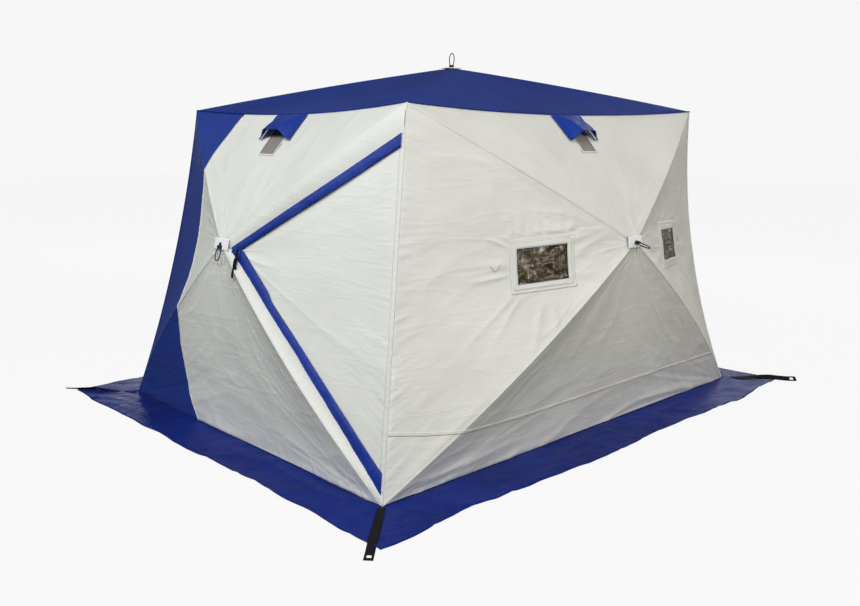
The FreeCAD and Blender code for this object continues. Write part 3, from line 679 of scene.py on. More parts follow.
def cut_holes(surface, p, holes):
    """Faces of a panel without those that lie inside a window or vent."""
    u, v, _ = surface.local(p.reshape(-1, 3))
    kept = []
    for f in grid_faces(*p.shape[:2]):
        cu, cv = u[list(f)].mean(), v[list(f)].mean()
        if not any(abs(cu - hu - lean * (cv - hv)) < a and abs(cv - hv) < b
                   for hu, hv, a, b, lean in holes):
            kept.append(f)
    return kept


# Panels whose small folds are worth a finer mesh.
CREASED = {("front", 0), ("front", 3), ("door", 0)}


def make_skin(surface, panels, holes):
    verts, faces, share, flat, along = [], [], [], [], []
    for i in panels:
        fine = (surface.name, i) in CREASED
        length, deep = panel_size(surface, i)
        cols = (136 if fine else 84) + int(length * 20)
        s, t = np.meshgrid(np.linspace(0, 1, cols), np.linspace(0, PANEL_END, 92 if fine else 56))
        p = surface.cloth(i, s, t)
        start = sum(len(v) for v in verts)
        faces += [tuple(x + start for x in f) for f in cut_holes(surface, p, holes)]
        verts.append(p.reshape(-1, 3))
        share.append(t.ravel())
        flat.append(pairs(*surface.local(p)[:2]))
        along.append(pairs(s * length, t * deep))
    obj = new_object(surface.name + "_cloth", np.concatenate(verts), faces,
                     MAT[WALL_CLOTH[surface.name]], (np.concatenate(flat), np.concatenate(along)))
    put_weights(obj, np.concatenate(share))
    drop_loose(obj)
    thicken(obj, CLOTH_THICK)
    return obj


def make_walls():
    for name, surface in SURF.items():
        panels = (0, 2, 3) if name == "door" else (0, 1, 2, 3)
        holes = [(u, WIN_V, WIN_HU + 0.008, WIN_HV + 0.008, lean)
                 for u, lean in WINDOWS.get(name, ())]
        if name != "roof":
            holes.append((0.0, VENT_V, VENT_HU + 0.006, VENT_HV + 0.006, 0.0))
        obj = make_skin(surface, panels, holes)
        roof = name == "roof"
        name_piece("roof_fabric" if roof else name + "_wall_fabric")
        sew(obj, surface)


# ---- pieces sewn onto the cloth

def walk(points):
    """Distance along a polyline at each of its points."""
    return np.concatenate([[0], np.cumsum(np.linalg.norm(np.diff(points, axis=0), axis=1))])


def resample(points, step):
    """Even points along a polyline, and the distance along it."""
    points = np.asarray(points, float)
    length = walk(points)
    at = np.linspace(0, length[-1], max(3, int(length[-1] / step) + 1))
    return np.stack([np.interp(at, length, column) for column in points.T], -1), at


def rounded_ring(half_u, half_v, radius, count):
    """Even points round a rectangle with rounded corners, starting on the right."""
    points = []
    for cx, cy, start in ((1, 1, 0), (-1, 1, 90), (-1, -1, 180), (1, -1, 270)):
        for k in range(14):
            a = math.radians(start + 90 * k / 13)
            points.append((cx * (half_u - radius) + radius * math.cos(a),
                           cy * (half_v - radius) + radius * math.sin(a)))
    points = np.array(points + points[:1])
    length = walk(points)
    at = np.linspace(0, length[-1], count, endpoint=False)
    return np.stack([np.interp(at, length, column) for column in points.T], -1)


def laid(name, surface, uv, lift, material, panel=None, thick=0.001, ring=False):
    """Piece laid on the cloth over a grid of wall points."""
    p, t = surface.drop(uv[..., 0], uv[..., 1], lift + 0 * uv[..., 0])
    flat = uv[..., 0], uv[..., 1]
    return cloth_piece(name, p, MAT[material], flat, panel or (flat[0], flat[1] + 1.0),
                       surface.w, t, thick, ring=ring)


SEAM_WIDE, SEAM_STEP = 0.016, 0.015


def low_seam(name, surface, line, material):
    """Felled seam laid on the cloth along a line of wall points."""
    mid, at = resample(line, SEAM_STEP)
    ahead = unit(np.gradient(mid, axis=0))
    side = np.stack([ahead[:, 1], -ahead[:, 0]], -1)
    across = np.linspace(-0.5, 0.5, 7)
    uv = mid[:, None] + side[:, None] * (across * SEAM_WIDE)[None, :, None]
    rise = 0.0006 + 0.0006 * (1 - (2 * across) ** 2)[None, :]
    return laid(name, surface, uv, rise, material, (at[:, None], across * SEAM_WIDE))


def tube(name, points, radius, material, shares=None, closed=False, sides=8):
    """Round bead along a line of points in space."""
    points = np.asarray(points, float)
    ahead = np.gradient(points, axis=0)
    if closed:
        ahead = np.roll(points, -1, 0) - np.roll(points, 1, 0)
    ahead = unit(ahead)
    first = unit(np.cross(ahead[0], (0.31, 0.17, 0.93)))
    a = np.linspace(0, 2 * math.pi, sides, endpoint=False)[:, None]
    rings = []
    for point, forward in zip(points, ahead):
        first = unit(first - forward * (first @ forward))
        rings.append(point + radius * (np.cos(a) * first + np.sin(a) * np.cross(forward, first)))
    count = len(points)
    faces = grid_faces(count, sides, ring=closed, tube=True)
    if not closed:
        end = (count - 1) * sides
        faces += [tuple(range(sides))[::-1], tuple(range(end, end + sides))]
    layer = pairs(np.linspace(0, 1, count)[:, None], np.arange(sides) / sides)
    obj = new_object(name, np.concatenate(rings), faces, MAT[material], (layer, layer))
    put_weights(obj, np.repeat(np.zeros(count) if shares is None else shares, sides))
    return obj


def stitches(name, surface, lines, lift, material, pitch=0.0075, long=0.0048, half=0.0007):
    """Rows of thread stitches: little rounded bars lying on the cloth."""
    starts, ends = [], []
    for line in lines:
        mid, _ = resample(line, pitch)
        reach = unit(np.gradient(mid, axis=0)) * long / 2
        starts.append(mid - reach)
        ends.append(mid + reach)
    (a, t), (b, _) = (surface.drop(*np.concatenate(x).T, lift) for x in (starts, ends))
    return bars(name, a, b, surface.w, half, material, t)


def bars(name, a, b, up, half, material, t):
    """One little six-sided bar from each point of a to each of b."""
    ahead = unit(b - a)
    side = unit(np.cross(up, ahead))
    top = np.cross(ahead, side)
    section = [(-1, 0), (-0.5, 0.9), (0.5, 0.9), (1, 0), (0.5, -0.9), (-0.5, -0.9)]
    verts = np.stack([base + (side * x + top * y) * half * 0.75
                      for base in (a, b) for x, y in section], 1)
    faces = []
    for o in range(0, len(a) * 12, 12):
        faces += [(o + c, o + (c + 1) % 6, o + 6 + (c + 1) % 6, o + 6 + c) for c in range(6)]
        faces += [tuple(range(o + 5, o - 1, -1)), tuple(range(o + 6, o + 12))]
    blank = np.zeros((len(a) * 12, 2))
    obj = new_object(name, verts.reshape(-1, 3), faces, MAT[material], (blank, blank), False)
    put_weights(obj, np.repeat(t, 12))
    return obj


def frame_ring(name, surface, centre, inner, outer, lift, material, cols=7, lean=0.0):
    """Flat fabric surround between two rounded rectangles."""
    a, b = rounded_ring(*inner, 160), rounded_ring(*outer, 160)
    k = np.linspace(0, 1, cols)[None, :, None]
    uv = a[:, None] * (1 - k) + b[:, None] * k
    uv[..., 0] += lean * uv[..., 1]
    rise = lift + 0.0007 * np.sin(math.pi * k[..., 0]) ** 0.5
    return laid(name, surface, uv + np.asarray(centre), rise, material, thick=0.0012, ring=True)


def film(name, surface, centre, half_u, half_v, lift, material, crease, seed, lean=0.0):
    """Sheet sewn behind an opening, with its own creases."""
    u, v = np.meshgrid(np.linspace(-half_u, half_u, 80), np.linspace(-half_v, half_v, 54))
    edge = clip01(np.minimum(half_u - np.abs(u), half_v - np.abs(v)) / 0.02)
    h = ridges(u * 11 + v * 6, v * 9 - u * 3, seed, 0.4)
    h = h + 0.6 * smooth_noise(u * 24, v * 30, seed + 1)
    u, v = u + lean * v + centre[0], v + centre[1]
    p, t = surface.drop(u, v, lift + crease * h * edge)
    return cloth_piece(name, p, MAT[material], (u, v), share=t, thick=0.0006, offset=-1.0)


TAB_REACH, TAB_HALF = 0.277, 0.030


def make_window(surface, tag, k, u, lean, cloth):
    centre = (u, WIN_V)
    # The second window on each wall takes the lighter painted copy of the film.
    pane = film(tag + "_film", surface, centre, WIN_HU + 0.012, WIN_HV + 0.012, -0.0015,
                "film_%d" % (k + 1), 0.0055, 5 + k, lean)
    sew(pane, surface, "window_films_" + surface.name)
    for part, grow, r, wide, wide_r, lift in (("_surround", 0, 0.006, 0.022, 0.006, 0.0018),
                                              ("_facing", 0.018, 0.005, 0.040, 0.004, 0.0006)):
        sew(frame_ring(tag + part, surface, centre, (WIN_HU + grow, WIN_HV + grow, r),
                       (WIN_HU + wide, WIN_HV + wide, wide_r), lift, cloth, lean=lean), surface)
    ring = rounded_ring(WIN_HU - 0.0015, WIN_HV - 0.0015, 0.005, 140)
    rim, t = surface.drop(ring[:, 0] + lean * ring[:, 1] + u, ring[:, 1] + WIN_V, 0.0022)
    sew(tube(tag + "_binding", rim, 0.0018, "binding", t, closed=True), surface)
    lines = []
    for grow in (0.004, 0.018, 0.026, 0.037):
        ring = rounded_ring(WIN_HU + grow, WIN_HV + grow, 0.004, 180)
        ring[:, 0] += lean * ring[:, 1]
        lines.append(np.vstack([ring, ring[:1]]) + centre)
    sew(stitches(tag + "_stitching", surface, lines, 0.0038, "thread"), surface)
    x, y = np.meshgrid(np.linspace(0, 1, 14), np.linspace(0, 1, 14))
    square = np.stack([1 - x - y, x - y], -1) * TAB_HALF
    spot = (u + (-1 if u < 0 else 1) * TAB_REACH, WIN_V + 0.020)
    sew(laid(tag + "_tab_patch", surface, square + spot, 0.0016, cloth), surface)


def make_windows():
    for name, places in WINDOWS.items():
        for k, (u, lean) in enumerate(places):
            make_window(SURF[name], "%s_window_%d" % (name, k + 1), k, u, lean, WALL_CLOTH[name])


def seam_tape(name, surface, i, material, width=0.020, lift=0.0003, last=0.955):
    """Reinforcing tape over a rod: folded along the rod, flat on both panels."""
    t = np.linspace(0.0, last, 90)
    xs = np.linspace(-width / 2, width / 2, 9)
    rows = []
    for x in xs:
        panel = (i - 1) % 4 if x < 0 else i
        room = panel_size(surface, panel)[0] * (1 - t)
        s = np.minimum(abs(x) / np.maximum(room, 1e-6), 0.45)
        p, n = surface.normal(surface.cloth, panel, 1 - s if x < 0 else s, t)
        rows.append(p + n * lift)
    p = np.stack(rows, 1)
    length = np.linalg.norm(surface.apex - surface.corners[i])
    return cloth_piece(name, p, MAT[material], surface.local(p)[:2],
                       ((t * length)[:, None], xs + 1.0), surface.w,
                       np.repeat(t, len(xs)), 0.0004)


WELT_RADIUS = 0.0030


def make_seams():
    for name, surface in SURF.items():
        for i in range(4):
            tape = seam_tape("%s_seam_tape_%d" % (name, i), surface, i, WALL_CLOTH[name])
            sew(tape, surface)
    s = np.linspace(0, 1, 120)
    for i, name in enumerate(("front", "end", "back", "door")):
        edge = SURF["roof"].skin(i, s, 0 * s) + SURF[name].w * 0.0035
        fix(tube("roof_welt_" + name, edge, WELT_RADIUS, "blue"), ROOT)
    for name in WALLS:
        surface = SURF[name]
        edge = surface.skin(1, s, 0 * s)
        wrapped = edge[0][0] < 0 < edge[0][1]
        welt = tube("corner_welt_" + name, edge + unit(surface.w + surface.u) * 0.001,
                    WELT_RADIUS, "blue" if wrapped else "cream")
        fix(welt, ROOT)


# Seam across the front wall: distance along the wall and height.
FRONT_SEAM = [(-1.53, 0.322), (-1.36, 0.292), (-1.15, 0.268), (-0.9, 0.246), (-0.6, 0.236),
              (0.6, 0.237), (1.20, 0.250), (1.36, 0.272), (1.48, 0.306)]


def make_cross_seams():
    for name in WINDOWS:
        surface = SURF[name]
        sew(low_seam(name + "_low_seam", surface, FRONT_SEAM, WALL_CLOTH[name]), surface)
        rows = [[(u, v + dv) for u, v in FRONT_SEAM] for dv in (-0.005, 0.005)]
        sew(stitches(name + "_low_seam_stitching", surface, rows, 0.0026, "pink_thread"),
            surface)


def make_block_piping():
    for name, side, stops in (("door", -1, DOOR_BLOCK), ("back", 1, BACK_BLOCK)):
        line, _ = resample([(side * q, min(max(p, 0.008), WALL_H)) for p, q in stops], 0.012)
        p, t = SURF[name].drop(line[:, 0], line[:, 1], 0.0018)
        sew(tube(name + "_block_piping", p, 0.0028, "piping", t), SURF[name])


def make_vents():
    centre = (0.0, VENT_V)
    for name in WALLS:
        surface = SURF[name]
        net = film(name + "_vent_mesh", surface, centre, VENT_HU + 0.008, VENT_HV + 0.008,
                   -0.0012, "mesh", 0.002, 31)
        sew(net, surface, "vent_meshes")
        border = frame_ring(name + "_vent_edging", surface, centre, (VENT_HU, VENT_HV, 0.006),
                            (VENT_HU + 0.007, VENT_HV + 0.007, 0.008), 0.0010, "cream", cols=5)
        sew(border, surface)


# ---- hoods

HOOD_LEAN = math.radians(30)
HOOD_FLAT, HOOD_HALF, HOOD_FALL = 0.206, 0.125, 0.170


def make_hoods():
    """Stiffened hoods: the tips hang close to the wall, the middle is arched away from it."""
    gx, gk = np.meshgrid(np.linspace(-1, 1, 61), np.linspace(0, 1, 40))
    arch = clip01((1 - np.abs(gx)) / 0.62)
    arch = arch * arch * (3 - 2 * arch)
    off = 0.008 + 0.006 * gk + arch * 0.062 * np.sin(gk * 1.5) ** 0.8
    off = off + 0.0016 * smooth_noise(gx * 4, gk * 3, 71)
    off = off + 0.0030 * ridges(gx * 7, gk * 1.2, 72, 0.3) * np.exp(-gk * 2.5)
    for name in WALLS:
        surface = SURF[name]
        out = surface.v * math.sin(HOOD_LEAN) + surface.w * math.cos(HOOD_LEAN)
        u0, v0, w0 = surface.local(surface.skin(2, 0.5, 0.0))
        u = u0 + gx * HOOD_HALF
        v = v0 - 0.003 - (HOOD_FALL * math.cos(HOOD_LEAN) - 0.046 * arch) * gk
        wall, _ = surface.drop(u, v)
        line = w0 + (v0 - v) * math.tan(HOOD_LEAN - 0.10)
        p = surface.at(u, v, np.maximum(surface.local(wall)[2], line) + off)
        hood = cloth_piece(name + "_hood_cloth", p, MAT["hood"], (u, v),
                           (gx * HOOD_HALF, HOOD_FALL * gk), out, thick=0.0012, offset=-1.0)
        fix(hood, name + "_vent_hood_unit", name + "_vent_hood")
        edge, _ = resample(np.concatenate([p[2:, 0], p[-1, 1:-1], p[2:, -1][::-1]]), 0.006)
        bead = tube(name + "_hood_binding", edge, 0.0024, "hood")
        fix(bead, name + "_vent_hood_unit")


# ---- door

DOOR = SURF["door"]
DOOR_UP, DOOR_LOW = 0.08, 0.035
DOOR_TIP = (0.084, 1.011)
TIP_SHARE, TIP_AT = 0.955, 0.93


def door_corners():
    """Upper and lower end of the hinge side, and the point of the door."""
    top, bottom = DOOR.corners[2], DOOR.corners[1]
    normal = unit(np.cross(top - bottom, DOOR.apex - bottom))
    base = DOOR.at(*DOOR_TIP)
    tip = base + DOOR.w * (((bottom - base) @ normal) / (DOOR.w @ normal))
    return top + (bottom - top) * DOOR_UP, bottom + (top - bottom) * DOOR_LOW, tip


UPPER, LOWER, TIP = door_corners()


def make_surround():
    """Wall cloth between the rods and the zips of the door."""
    near = DOOR.skin(1, 0.5, PANEL_END)
    k, x = np.linspace(0, 1, 110)[:, None], np.linspace(0, 1, 12)[None]
    rest = clip01((k - TIP_AT) / (1 - TIP_AT))
    share_b = np.where(k < TIP_AT, k / TIP_AT * TIP_SHARE,
                       TIP_SHARE + (PANEL_END - TIP_SHARE) * rest)
    for label, rod, zip_end in (("lower", 1, LOWER), ("upper", 2, UPPER)):
        a = DOOR.rod(rod, k[:, 0] * PANEL_END)
        b = zip_end + (TIP - zip_end) * clip01(k / TIP_AT)
        b = b * (1 - rest) + near * rest
        p = a[:, None] * (1 - x[..., None]) + b[:, None] * x[..., None]
        width = np.linalg.norm(a - b, axis=1)[:, None]
        pucker = 0.0013 * ridges(k * 26 + x * 0.8, x * 1.5, 91, 0.3)
        full = np.clip(width, 0, 0.08) * 0.10 + pucker
        p = move(p, DOOR.w, full * np.sin(math.pi * x))
        share = k * PANEL_END * (1 - x) + share_b * x
        cloth = cloth_piece("door_surround_" + label, p, MAT["cream"], DOOR.local(p)[:2],
                            (k * 1.4, x * 0.05), DOOR.w, share, CLOTH_THICK, -1.0)
        sew(cloth, DOOR, node="door_wall_fabric")


def inset_triangle(a, b, c, gap_ab, gap_bc, gap_ca):
    """Corners of a triangle drawn in by a distance from each side."""
    n = unit(np.cross(b - a, c - a))
    lines = []
    for p, q, gap in ((a, b, gap_ab), (b, c, gap_bc), (c, a, gap_ca)):
        d = unit(q - p)
        lines.append((p + np.cross(n, d) * gap, d))

    def meet(first, second):
        (p, d), (q, e) = lines[first], lines[second]
        return p + d * np.linalg.lstsq(np.stack([d, -e], -1), q - p, rcond=None)[0][0]
    return meet(2, 0), meet(0, 1), meet(1, 2)


def make_leaf():
    """Door leaf and its normal."""
    a, b, c = inset_triangle(LOWER, UPPER, TIP, 0.014, 0.007, 0.007)
    normal = unit(np.cross(b - a, c - a))
    if normal @ DOOR.w < 0:
        normal = -normal
    s, t = np.meshgrid(np.linspace(0, 1, 150), np.linspace(0, 0.999, 90))
    p = (a + (b - a) * s[..., None]) * (1 - t)[..., None] + c * t[..., None]
    length = np.linalg.norm(b - a)
    deep = np.linalg.norm(np.cross(b - a, c - a)) / length
    x, d = s * length, t * deep
    hold = clip01(np.minimum(np.minimum(s, 1 - s) * length * (1 - t), d) / 0.05)
    h = -0.006 * np.sin(math.pi * t) + 0.0030 * smooth_noise(x * 3, d * 3, 102)
    h = (h + 0.0028 * ridges(x * 3.0 + d * 0.5, d * 1.6 - x * 0.7, 101, 0.3)) * hold
    seam = np.exp(-d / 0.09) * clip01(d / 0.015)
    h = h + 0.0022 * ridges(x * 9, d * 2.2, 103, 0.3) * seam
    p = move(p, normal, h)
    leaf = cloth_piece("door_leaf_cloth", p, MAT["cream"], DOOR.local(p)[:2], (x, d), DOOR.w,
                       thick=CLOTH_THICK, offset=-1.0)
    fix(leaf, "door_leaf_unit", "door_leaf")
    return normal


FLAP_LAP = -0.012
# Width of each flap along its zip, from the point of the door.
UPPER_FLAP = [(0.0, 0.026), (0.5, 0.034), (1.2, 0.043)]
LOWER_FLAP = [(0.0, 0.048), (0.30, 0.045), (0.36, 0.034), (0.9, 0.040), (1.5, 0.054)]


def make_flap(label, end, other, profile, lift, seed, normal):
    """Blue storm flap over a zip, cut off parallel to the corner seam."""
    along, seam = unit(end - TIP), unit(other - end)
    inward = other - end
    across = unit(inward - along * (inward @ along))
    k = np.linspace(0.0, np.linalg.norm(end - TIP) - 0.012, 150)
    gk, gx = np.meshgrid(k, np.linspace(0, 1, 11), indexing="ij")
    inner = np.interp(gk, *np.transpose(profile))
    wave = 0.0030 * smooth_noise(gk * 9, gx * 1.5, seed)
    wave = wave + 0.0020 * smooth_noise(gk * 23, gx, seed + 1)
    z = lift + 0.0045 * np.sin(math.pi * gx) + wave * (0.3 + gx * (1 - gx) * 2.4)
    off = FLAP_LAP + (inner - FLAP_LAP) * gx + 0.0022 * smooth_noise(gk * 5, 0, seed + 2)
    skew = (seam @ along) / (seam @ across)
    shift = np.maximum(0, clip01(1 - gk / 0.06) * off)
    shift = shift + skew * off * clip01(1 - (k[-1] - gk) / 0.10)
    p = move(TIP, along, gk + shift, across, off, normal, z)
    obj = cloth_piece("door_%s_storm_flap" % label, p, MAT["band"], (gk, gx * 0.06),
                      (gk, gx * 0.06 + 0.06), normal, thick=0.0014)
    fix(obj, "door_leaf_unit", "door_zip_flaps")


PULL_LONG, PULL_HALF = 0.102, 0.0058
SLIDER_HALF = (0.0085, 0.0062)
# Share of the outline and height of each ring of a slider's body.
SLIDER_RINGS = ((0.70, 0.0012), (1.0, 0.0022), (1.0, 0.0052), (0.7, 0.0066), (0.25, 0.0072))


def make_slider(label, end, start, at, fall, side, normal):
    """Zip slider, with a soft webbing pull that hangs down in front of the flap."""
    along = unit(end - TIP)
    wide = np.cross(normal, along)
    outline = np.array([(-1, 0.55), (-0.75, 0.9), (0.0, 1.0), (0.75, 0.85), (1, 0.4), (1, -0.4),
                        (0.75, -0.85), (0.0, -1.0), (-0.75, -0.9), (-1, -0.55)])
    x, y = outline.T
    half_x, half_y = SLIDER_HALF
    rings = [move(TIP, along, start + x * half_x * grow, wide, y * half_y * grow, normal, z)
             for grow, z in SLIDER_RINGS]
    faces = grid_faces(5, 10, tube=True) + [tuple(range(10))[::-1], tuple(range(40, 50))]
    blank = np.zeros((50, 2))
    body = new_object("zip_slider_body_" + label, np.concatenate(rings), faces, MAT["paint"],
                      (blank, blank))
    soften(body, 2)
    fix(body, "zip_slider_%s_unit" % label, "zip_slider_" + label)
    down = -DOOR.v
    down = unit(down - normal * (down @ normal))
    gq, gx = np.meshgrid(np.linspace(0, 1, 30), np.linspace(-1, 1, 6), indexing="ij")
    top = TIP + along * at + down * fall + normal * (0.0215 + 0.10 * fall)
    sway = 0.003 * np.sin(gq * 3.0) + side * gq
    lift = 0.004 * np.sin(gq * 2.6) + 0.0022 * np.sin(gq * 9)
    p = move(top, down, gq * PULL_LONG, normal, lift, unit(np.cross(down, normal)),
             gx * PULL_HALF + sway)
    pull = cloth_piece("zip_pull_" + label, p, MAT["webbing"], (gq * 0.08, gx * 0.005),
                       thick=0.0026, offset=0.0)
    fix(pull, "zip_slider_%s_unit" % label)


def make_hinge_strip(normal):
    """Strip of wall cloth that the door leaf swings on."""
    down = unit(LOWER - UPPER)
    inward = TIP - (UPPER + LOWER) / 2
    across = unit(inward - down * (inward @ down))
    gk, gx = np.meshgrid(np.linspace(0, np.linalg.norm(LOWER - UPPER), 140),
                         np.linspace(0, 1, 7), indexing="ij")
    bulge = 0.0012 + 0.0016 * ridges(gk * 15, gx, 131, 0.3)
    z = 0.0010 + bulge * np.sin(math.pi * gx)
    p = move(UPPER, down, gk, across, gx * 0.020, normal, z)
    obj = cloth_piece("door_hinge_strip", p, MAT["cream"], (gk, gx * 0.02), out=normal,
                      thick=0.0010)
    fix(obj, "door_frame_unit", "door_hinge_tape")


def make_door():
    make_surround()
    normal = make_leaf()
    make_flap("upper", UPPER, LOWER, UPPER_FLAP, 0.0085, 111, normal)
    make_flap("lower", LOWER, UPPER, LOWER_FLAP, 0.0050, 121, normal)
    make_slider("upper", UPPER, 0.072, 0.056, 0.024, -0.008, normal)
    make_slider("lower", LOWER, 0.092, 0.052, 0.000, -0.001, normal)
    make_hinge_strip(normal)


# ---- skirt and straps

GROUND_CORNERS = np.array([(-1, -1), (1, -1), (1, 1), (-1, 1)])
FLOOR_UP = (0, 0, 1)
SKIRT_STEP, SKIRT_COLS, SKIRT_REST = 0.016, 22, 0.0016


def make_skirt():
    """Snow skirt: one mitred ring of coated cloth lying loosely on the ground."""
    inner, outer, station = [], [], []
    total = 0.0
    corners = GROUND_CORNERS * (BASE_L / 2, BASE_W / 2)
    for a, b in zip(corners, np.roll(corners, -1, 0)):
        length = np.linalg.norm(b - a)
        count = int(length / SKIRT_STEP)
        f = np.arange(count)[:, None] / count
        out_a, out_b = a + np.sign(a) * SKIRT, b + np.sign(b) * SKIRT
        inner.append(a + (b - a) * f)
        outer.append(out_a + (out_b - out_a) * f)
        station.append(total + length * f[:, 0])
        total += length
    inner, outer, station = (np.concatenate(x) for x in (inner, outer, station))
    gs, gq = np.meshgrid(station, np.linspace(0, 1, SKIRT_COLS), indexing="ij")
    turn = 2 * math.pi * gs / total
    cx, cy = 4 + 3.1 * np.cos(turn), 4 + 3.1 * np.sin(turn)
    edge = 0.024 * smooth_noise(gs * 2.3, 0, 141) + 0.013 * smooth_noise(gs * 6.1, 0, 142) - 0.014
    reach = (gq * (1 + edge * gq / SKIRT))[..., None]
    p = inner[:, None] * (1 - reach) + outer[:, None] * reach
    fold = 0.0075 * ridges(gs * 3.4 + gq * 1.1, gq * 1.6, 143, 0.1)
    fold = fold + 0.0060 * ridges(gs * 9.0 - gq * 0.9, gq * 1.1, 144) * (0.4 + 0.6 * gq)
    fold = fold + 0.0025 * (1 + smooth_noise(cx * 9, cy * 9 + gq * 3, 145))
    hem = 0.0050 * np.exp(-gq / 0.05)
    z = SKIRT_REST + np.clip(fold, 0, None) * clip01(gq / 0.06) + hem
    pos = np.concatenate([p, z[..., None]], -1)
    skirt = cloth_piece("snow_skirt_cloth", pos, MAT["skirt"], (p[..., 0], p[..., 1]),
                        (gs, gq * SKIRT), FLOOR_UP, thick=0.0012, ring=True)
    fix(skirt, ROOT, "snow_skirt")
    lip = np.column_stack([inner, np.full(len(inner), 0.0095)])
    fix(tube("skirt_hem_bead", lip, 0.0034, "skirt", closed=True), ROOT)


# How each strap has fallen: sideways drift at its end, and twist in radians.
STRAP_LIE = ((-0.045, 0.0), (0.0, 0.55), (0.012, 0.1), (0.0, 0.45))
STRAP_EDGES = (0.005, 0.010, 0.0135, 0.0175, 0.020)
STRAP_FROM, STRAP_TO, STRAP_ROWS = 0.012, 0.480, 80
EYE_HALF, EYE_FROM, EYE_TO = 0.0095, 0.436, 0.464


def make_straps():
    """Webbing strap with an eye at its end, lying over the skirt at each corner."""
    x = np.array([-e for e in STRAP_EDGES[::-1]] + [0, *STRAP_EDGES])
    gy, gx = np.meshgrid(np.linspace(STRAP_FROM, STRAP_TO, STRAP_ROWS), x, indexing="ij")
    faces = []
    for f in grid_faces(*gy.shape):
        cy, cx = gy.ravel()[list(f)].mean(), gx.ravel()[list(f)].mean()
        if not (abs(cx) < EYE_HALF and EYE_FROM < cy < EYE_TO):
            faces.append(f)
    for i, ((sx, sy), (drift, turn)) in enumerate(zip(GROUND_CORNERS, STRAP_LIE)):
        origin = np.array((sx * BASE_L / 2, sy * BASE_W / 2, 0))
        along, across = unit((sx, sy, 0)), unit((-sy, sx, 0))
        sway = 0.010 * smooth_noise(gy * 3.0, i * 2.7, 151) + drift * gy / STRAP_TO
        twist = turn * clip01((gy - 0.10) / 0.16)
        z = 0.0125 + 0.0028 * smooth_noise(gy * 9, i * 1.3, 152)
        z = z - 0.006 * clip01((gy - 0.30) / 0.12)
        held = clip01((gy - 0.05) / 0.05) * clip01((0.42 - gy) / 0.08)
        z = z + 0.0030 * ridges(gy * 5 + i, 0, 153) * held + (0.020 + gx) * np.sin(twist)
        side = gx * np.cos(twist) + sway
        p = move(origin, along, gy, across, side, np.array(FLOOR_UP), z)
        strap = cloth_piece("anchor_strap_%d" % i, p, MAT["webbing"], (gy, gx), out=FLOOR_UP,
                            thick=0.0024, offset=-1.0, faces=faces)
        fix(strap, ROOT, "anchor_straps")


# ---- hubs

# Half sizes, corner radius and height of each ring of a hub patch, from its edge inwards.
PATCH_RINGS = ((0.0635, 0.030, 0.004, -0.0030), (0.060, 0.027, 0.003, 0.0012),
               (0.020, 0.016, 0.0145, 0.0020), (0.0078, 0.0078, 0.0077, 0.0014))
PATCH_STITCHES = (0.0555, 0.0235, 0.003, 0.0026)


def make_hub_patches():
    """White bound patch on the face plate of each hub, with the bolt head through it."""
    for name, surface in SURF.items():
        origin = surface.apex - surface.w * 0.0004

        def ring_at(hu, hv, r, z, count):
            u, v = rounded_ring(hu, hv, r, count).T
            return move(origin, surface.u, u, surface.v, v, surface.w, z)
        p = np.concatenate([ring_at(*ring, 72) for ring in PATCH_RINGS])
        flat = pairs(*surface.local(p)[:2])
        obj = new_object(name + "_hub_patch", p, grid_faces(len(PATCH_RINGS), 72, tube=True),
                         MAT["patch"], (flat, flat + (0, 1.0)))
        face_out(obj, surface.w)
        soften(obj, 1)
        thicken(obj, 0.0010, 1.0)
        fix(obj, name + "_hub_unit")
        at = ring_at(*PATCH_STITCHES, 70)
        reach = (np.roll(at, -1, 0) - at) * 0.62
        fix(bars(name + "_hub_patch_stitching", at, at + reach, surface.w, 0.0006, "thread",
                 np.zeros(len(at))), name + "_hub_unit")


# Pull loop in millimetres: across the hub, and along the way it hangs.
LOOP_ROUTE = ((-10, 0), (-15, 15), (-20, 32), (-20.5, 50), (-18, 66), (-9, 78),
              (9, 78), (18, 66), (20.5, 50), (20, 32), (15, 15), (10, 0))
LOOP_START = 39.5
LOOP_LENGTH, LOOP_THICK = 0.181, 0.0055
KNOT_TURNS, KNOT_WIDE, KNOT_DEEP, KNOT_TALL, KNOT_CORD = 3, 0.0165, 0.0062, 0.012, 0.0027


def loop_route(surface):
    """Points of the pull loop, as in the CAD model."""
    origin = surface.apex - surface.w * SINK
    points = []
    for across, along in LOOP_ROUTE:
        if surface.name == "roof":
            y, z = 0, LOOP_START + along
        elif surface.name == "front":
            y, z = -0.45 * along, LOOP_START + 0.9 * along
        else:
            y, z = -6 - along, LOOP_START + 0.12 * along
        points.append(origin + (surface.u * across + surface.v * y + surface.w * z) / 1000)
    return points


def make_loops():
    for name, surface in SURF.items():
        route = loop_route(surface)
        curve = bpy.data.curves.new(name + "_pull_cord", "CURVE")
        curve.dimensions = "3D"
        spline = curve.splines.new("NURBS")
        spline.points.add(len(route) - 1)
        for point, p in zip(spline.points, route):
            point.co = (*p, 1.0)
        spline.order_u, spline.use_endpoint_u, spline.resolution_u = 3, True, 12
        curve.bevel_depth, curve.bevel_resolution = LOOP_THICK / 2, 3
        curve.use_fill_caps = True
        curve.materials.append(MAT["cord"])
        obj = bpy.data.objects.new(name + "_pull_cord", curve)
        bpy.context.scene.collection.objects.link(obj)
        fix(obj, name + "_hub_unit", name + "_pull_loop")
        first, start, end, last = (route[k] for k in (0, 1, -2, -1))
        turn = np.linspace(0, KNOT_TURNS * 2 * math.pi, 80)[:, None]
        rise = unit((start + end) / 2 - (first + last) / 2)
        coil = ((first + start + end + last) / 4 + surface.u * np.cos(turn) * KNOT_WIDE
                + np.cross(surface.u, rise) * np.sin(turn) * KNOT_DEEP
                + rise * (turn / 18.85 - 0.5) * KNOT_TALL)
        fix(tube(name + "_loop_knot", coil, KNOT_CORD, "cord"), name + "_hub_unit")


# ---- CAD pieces that stay

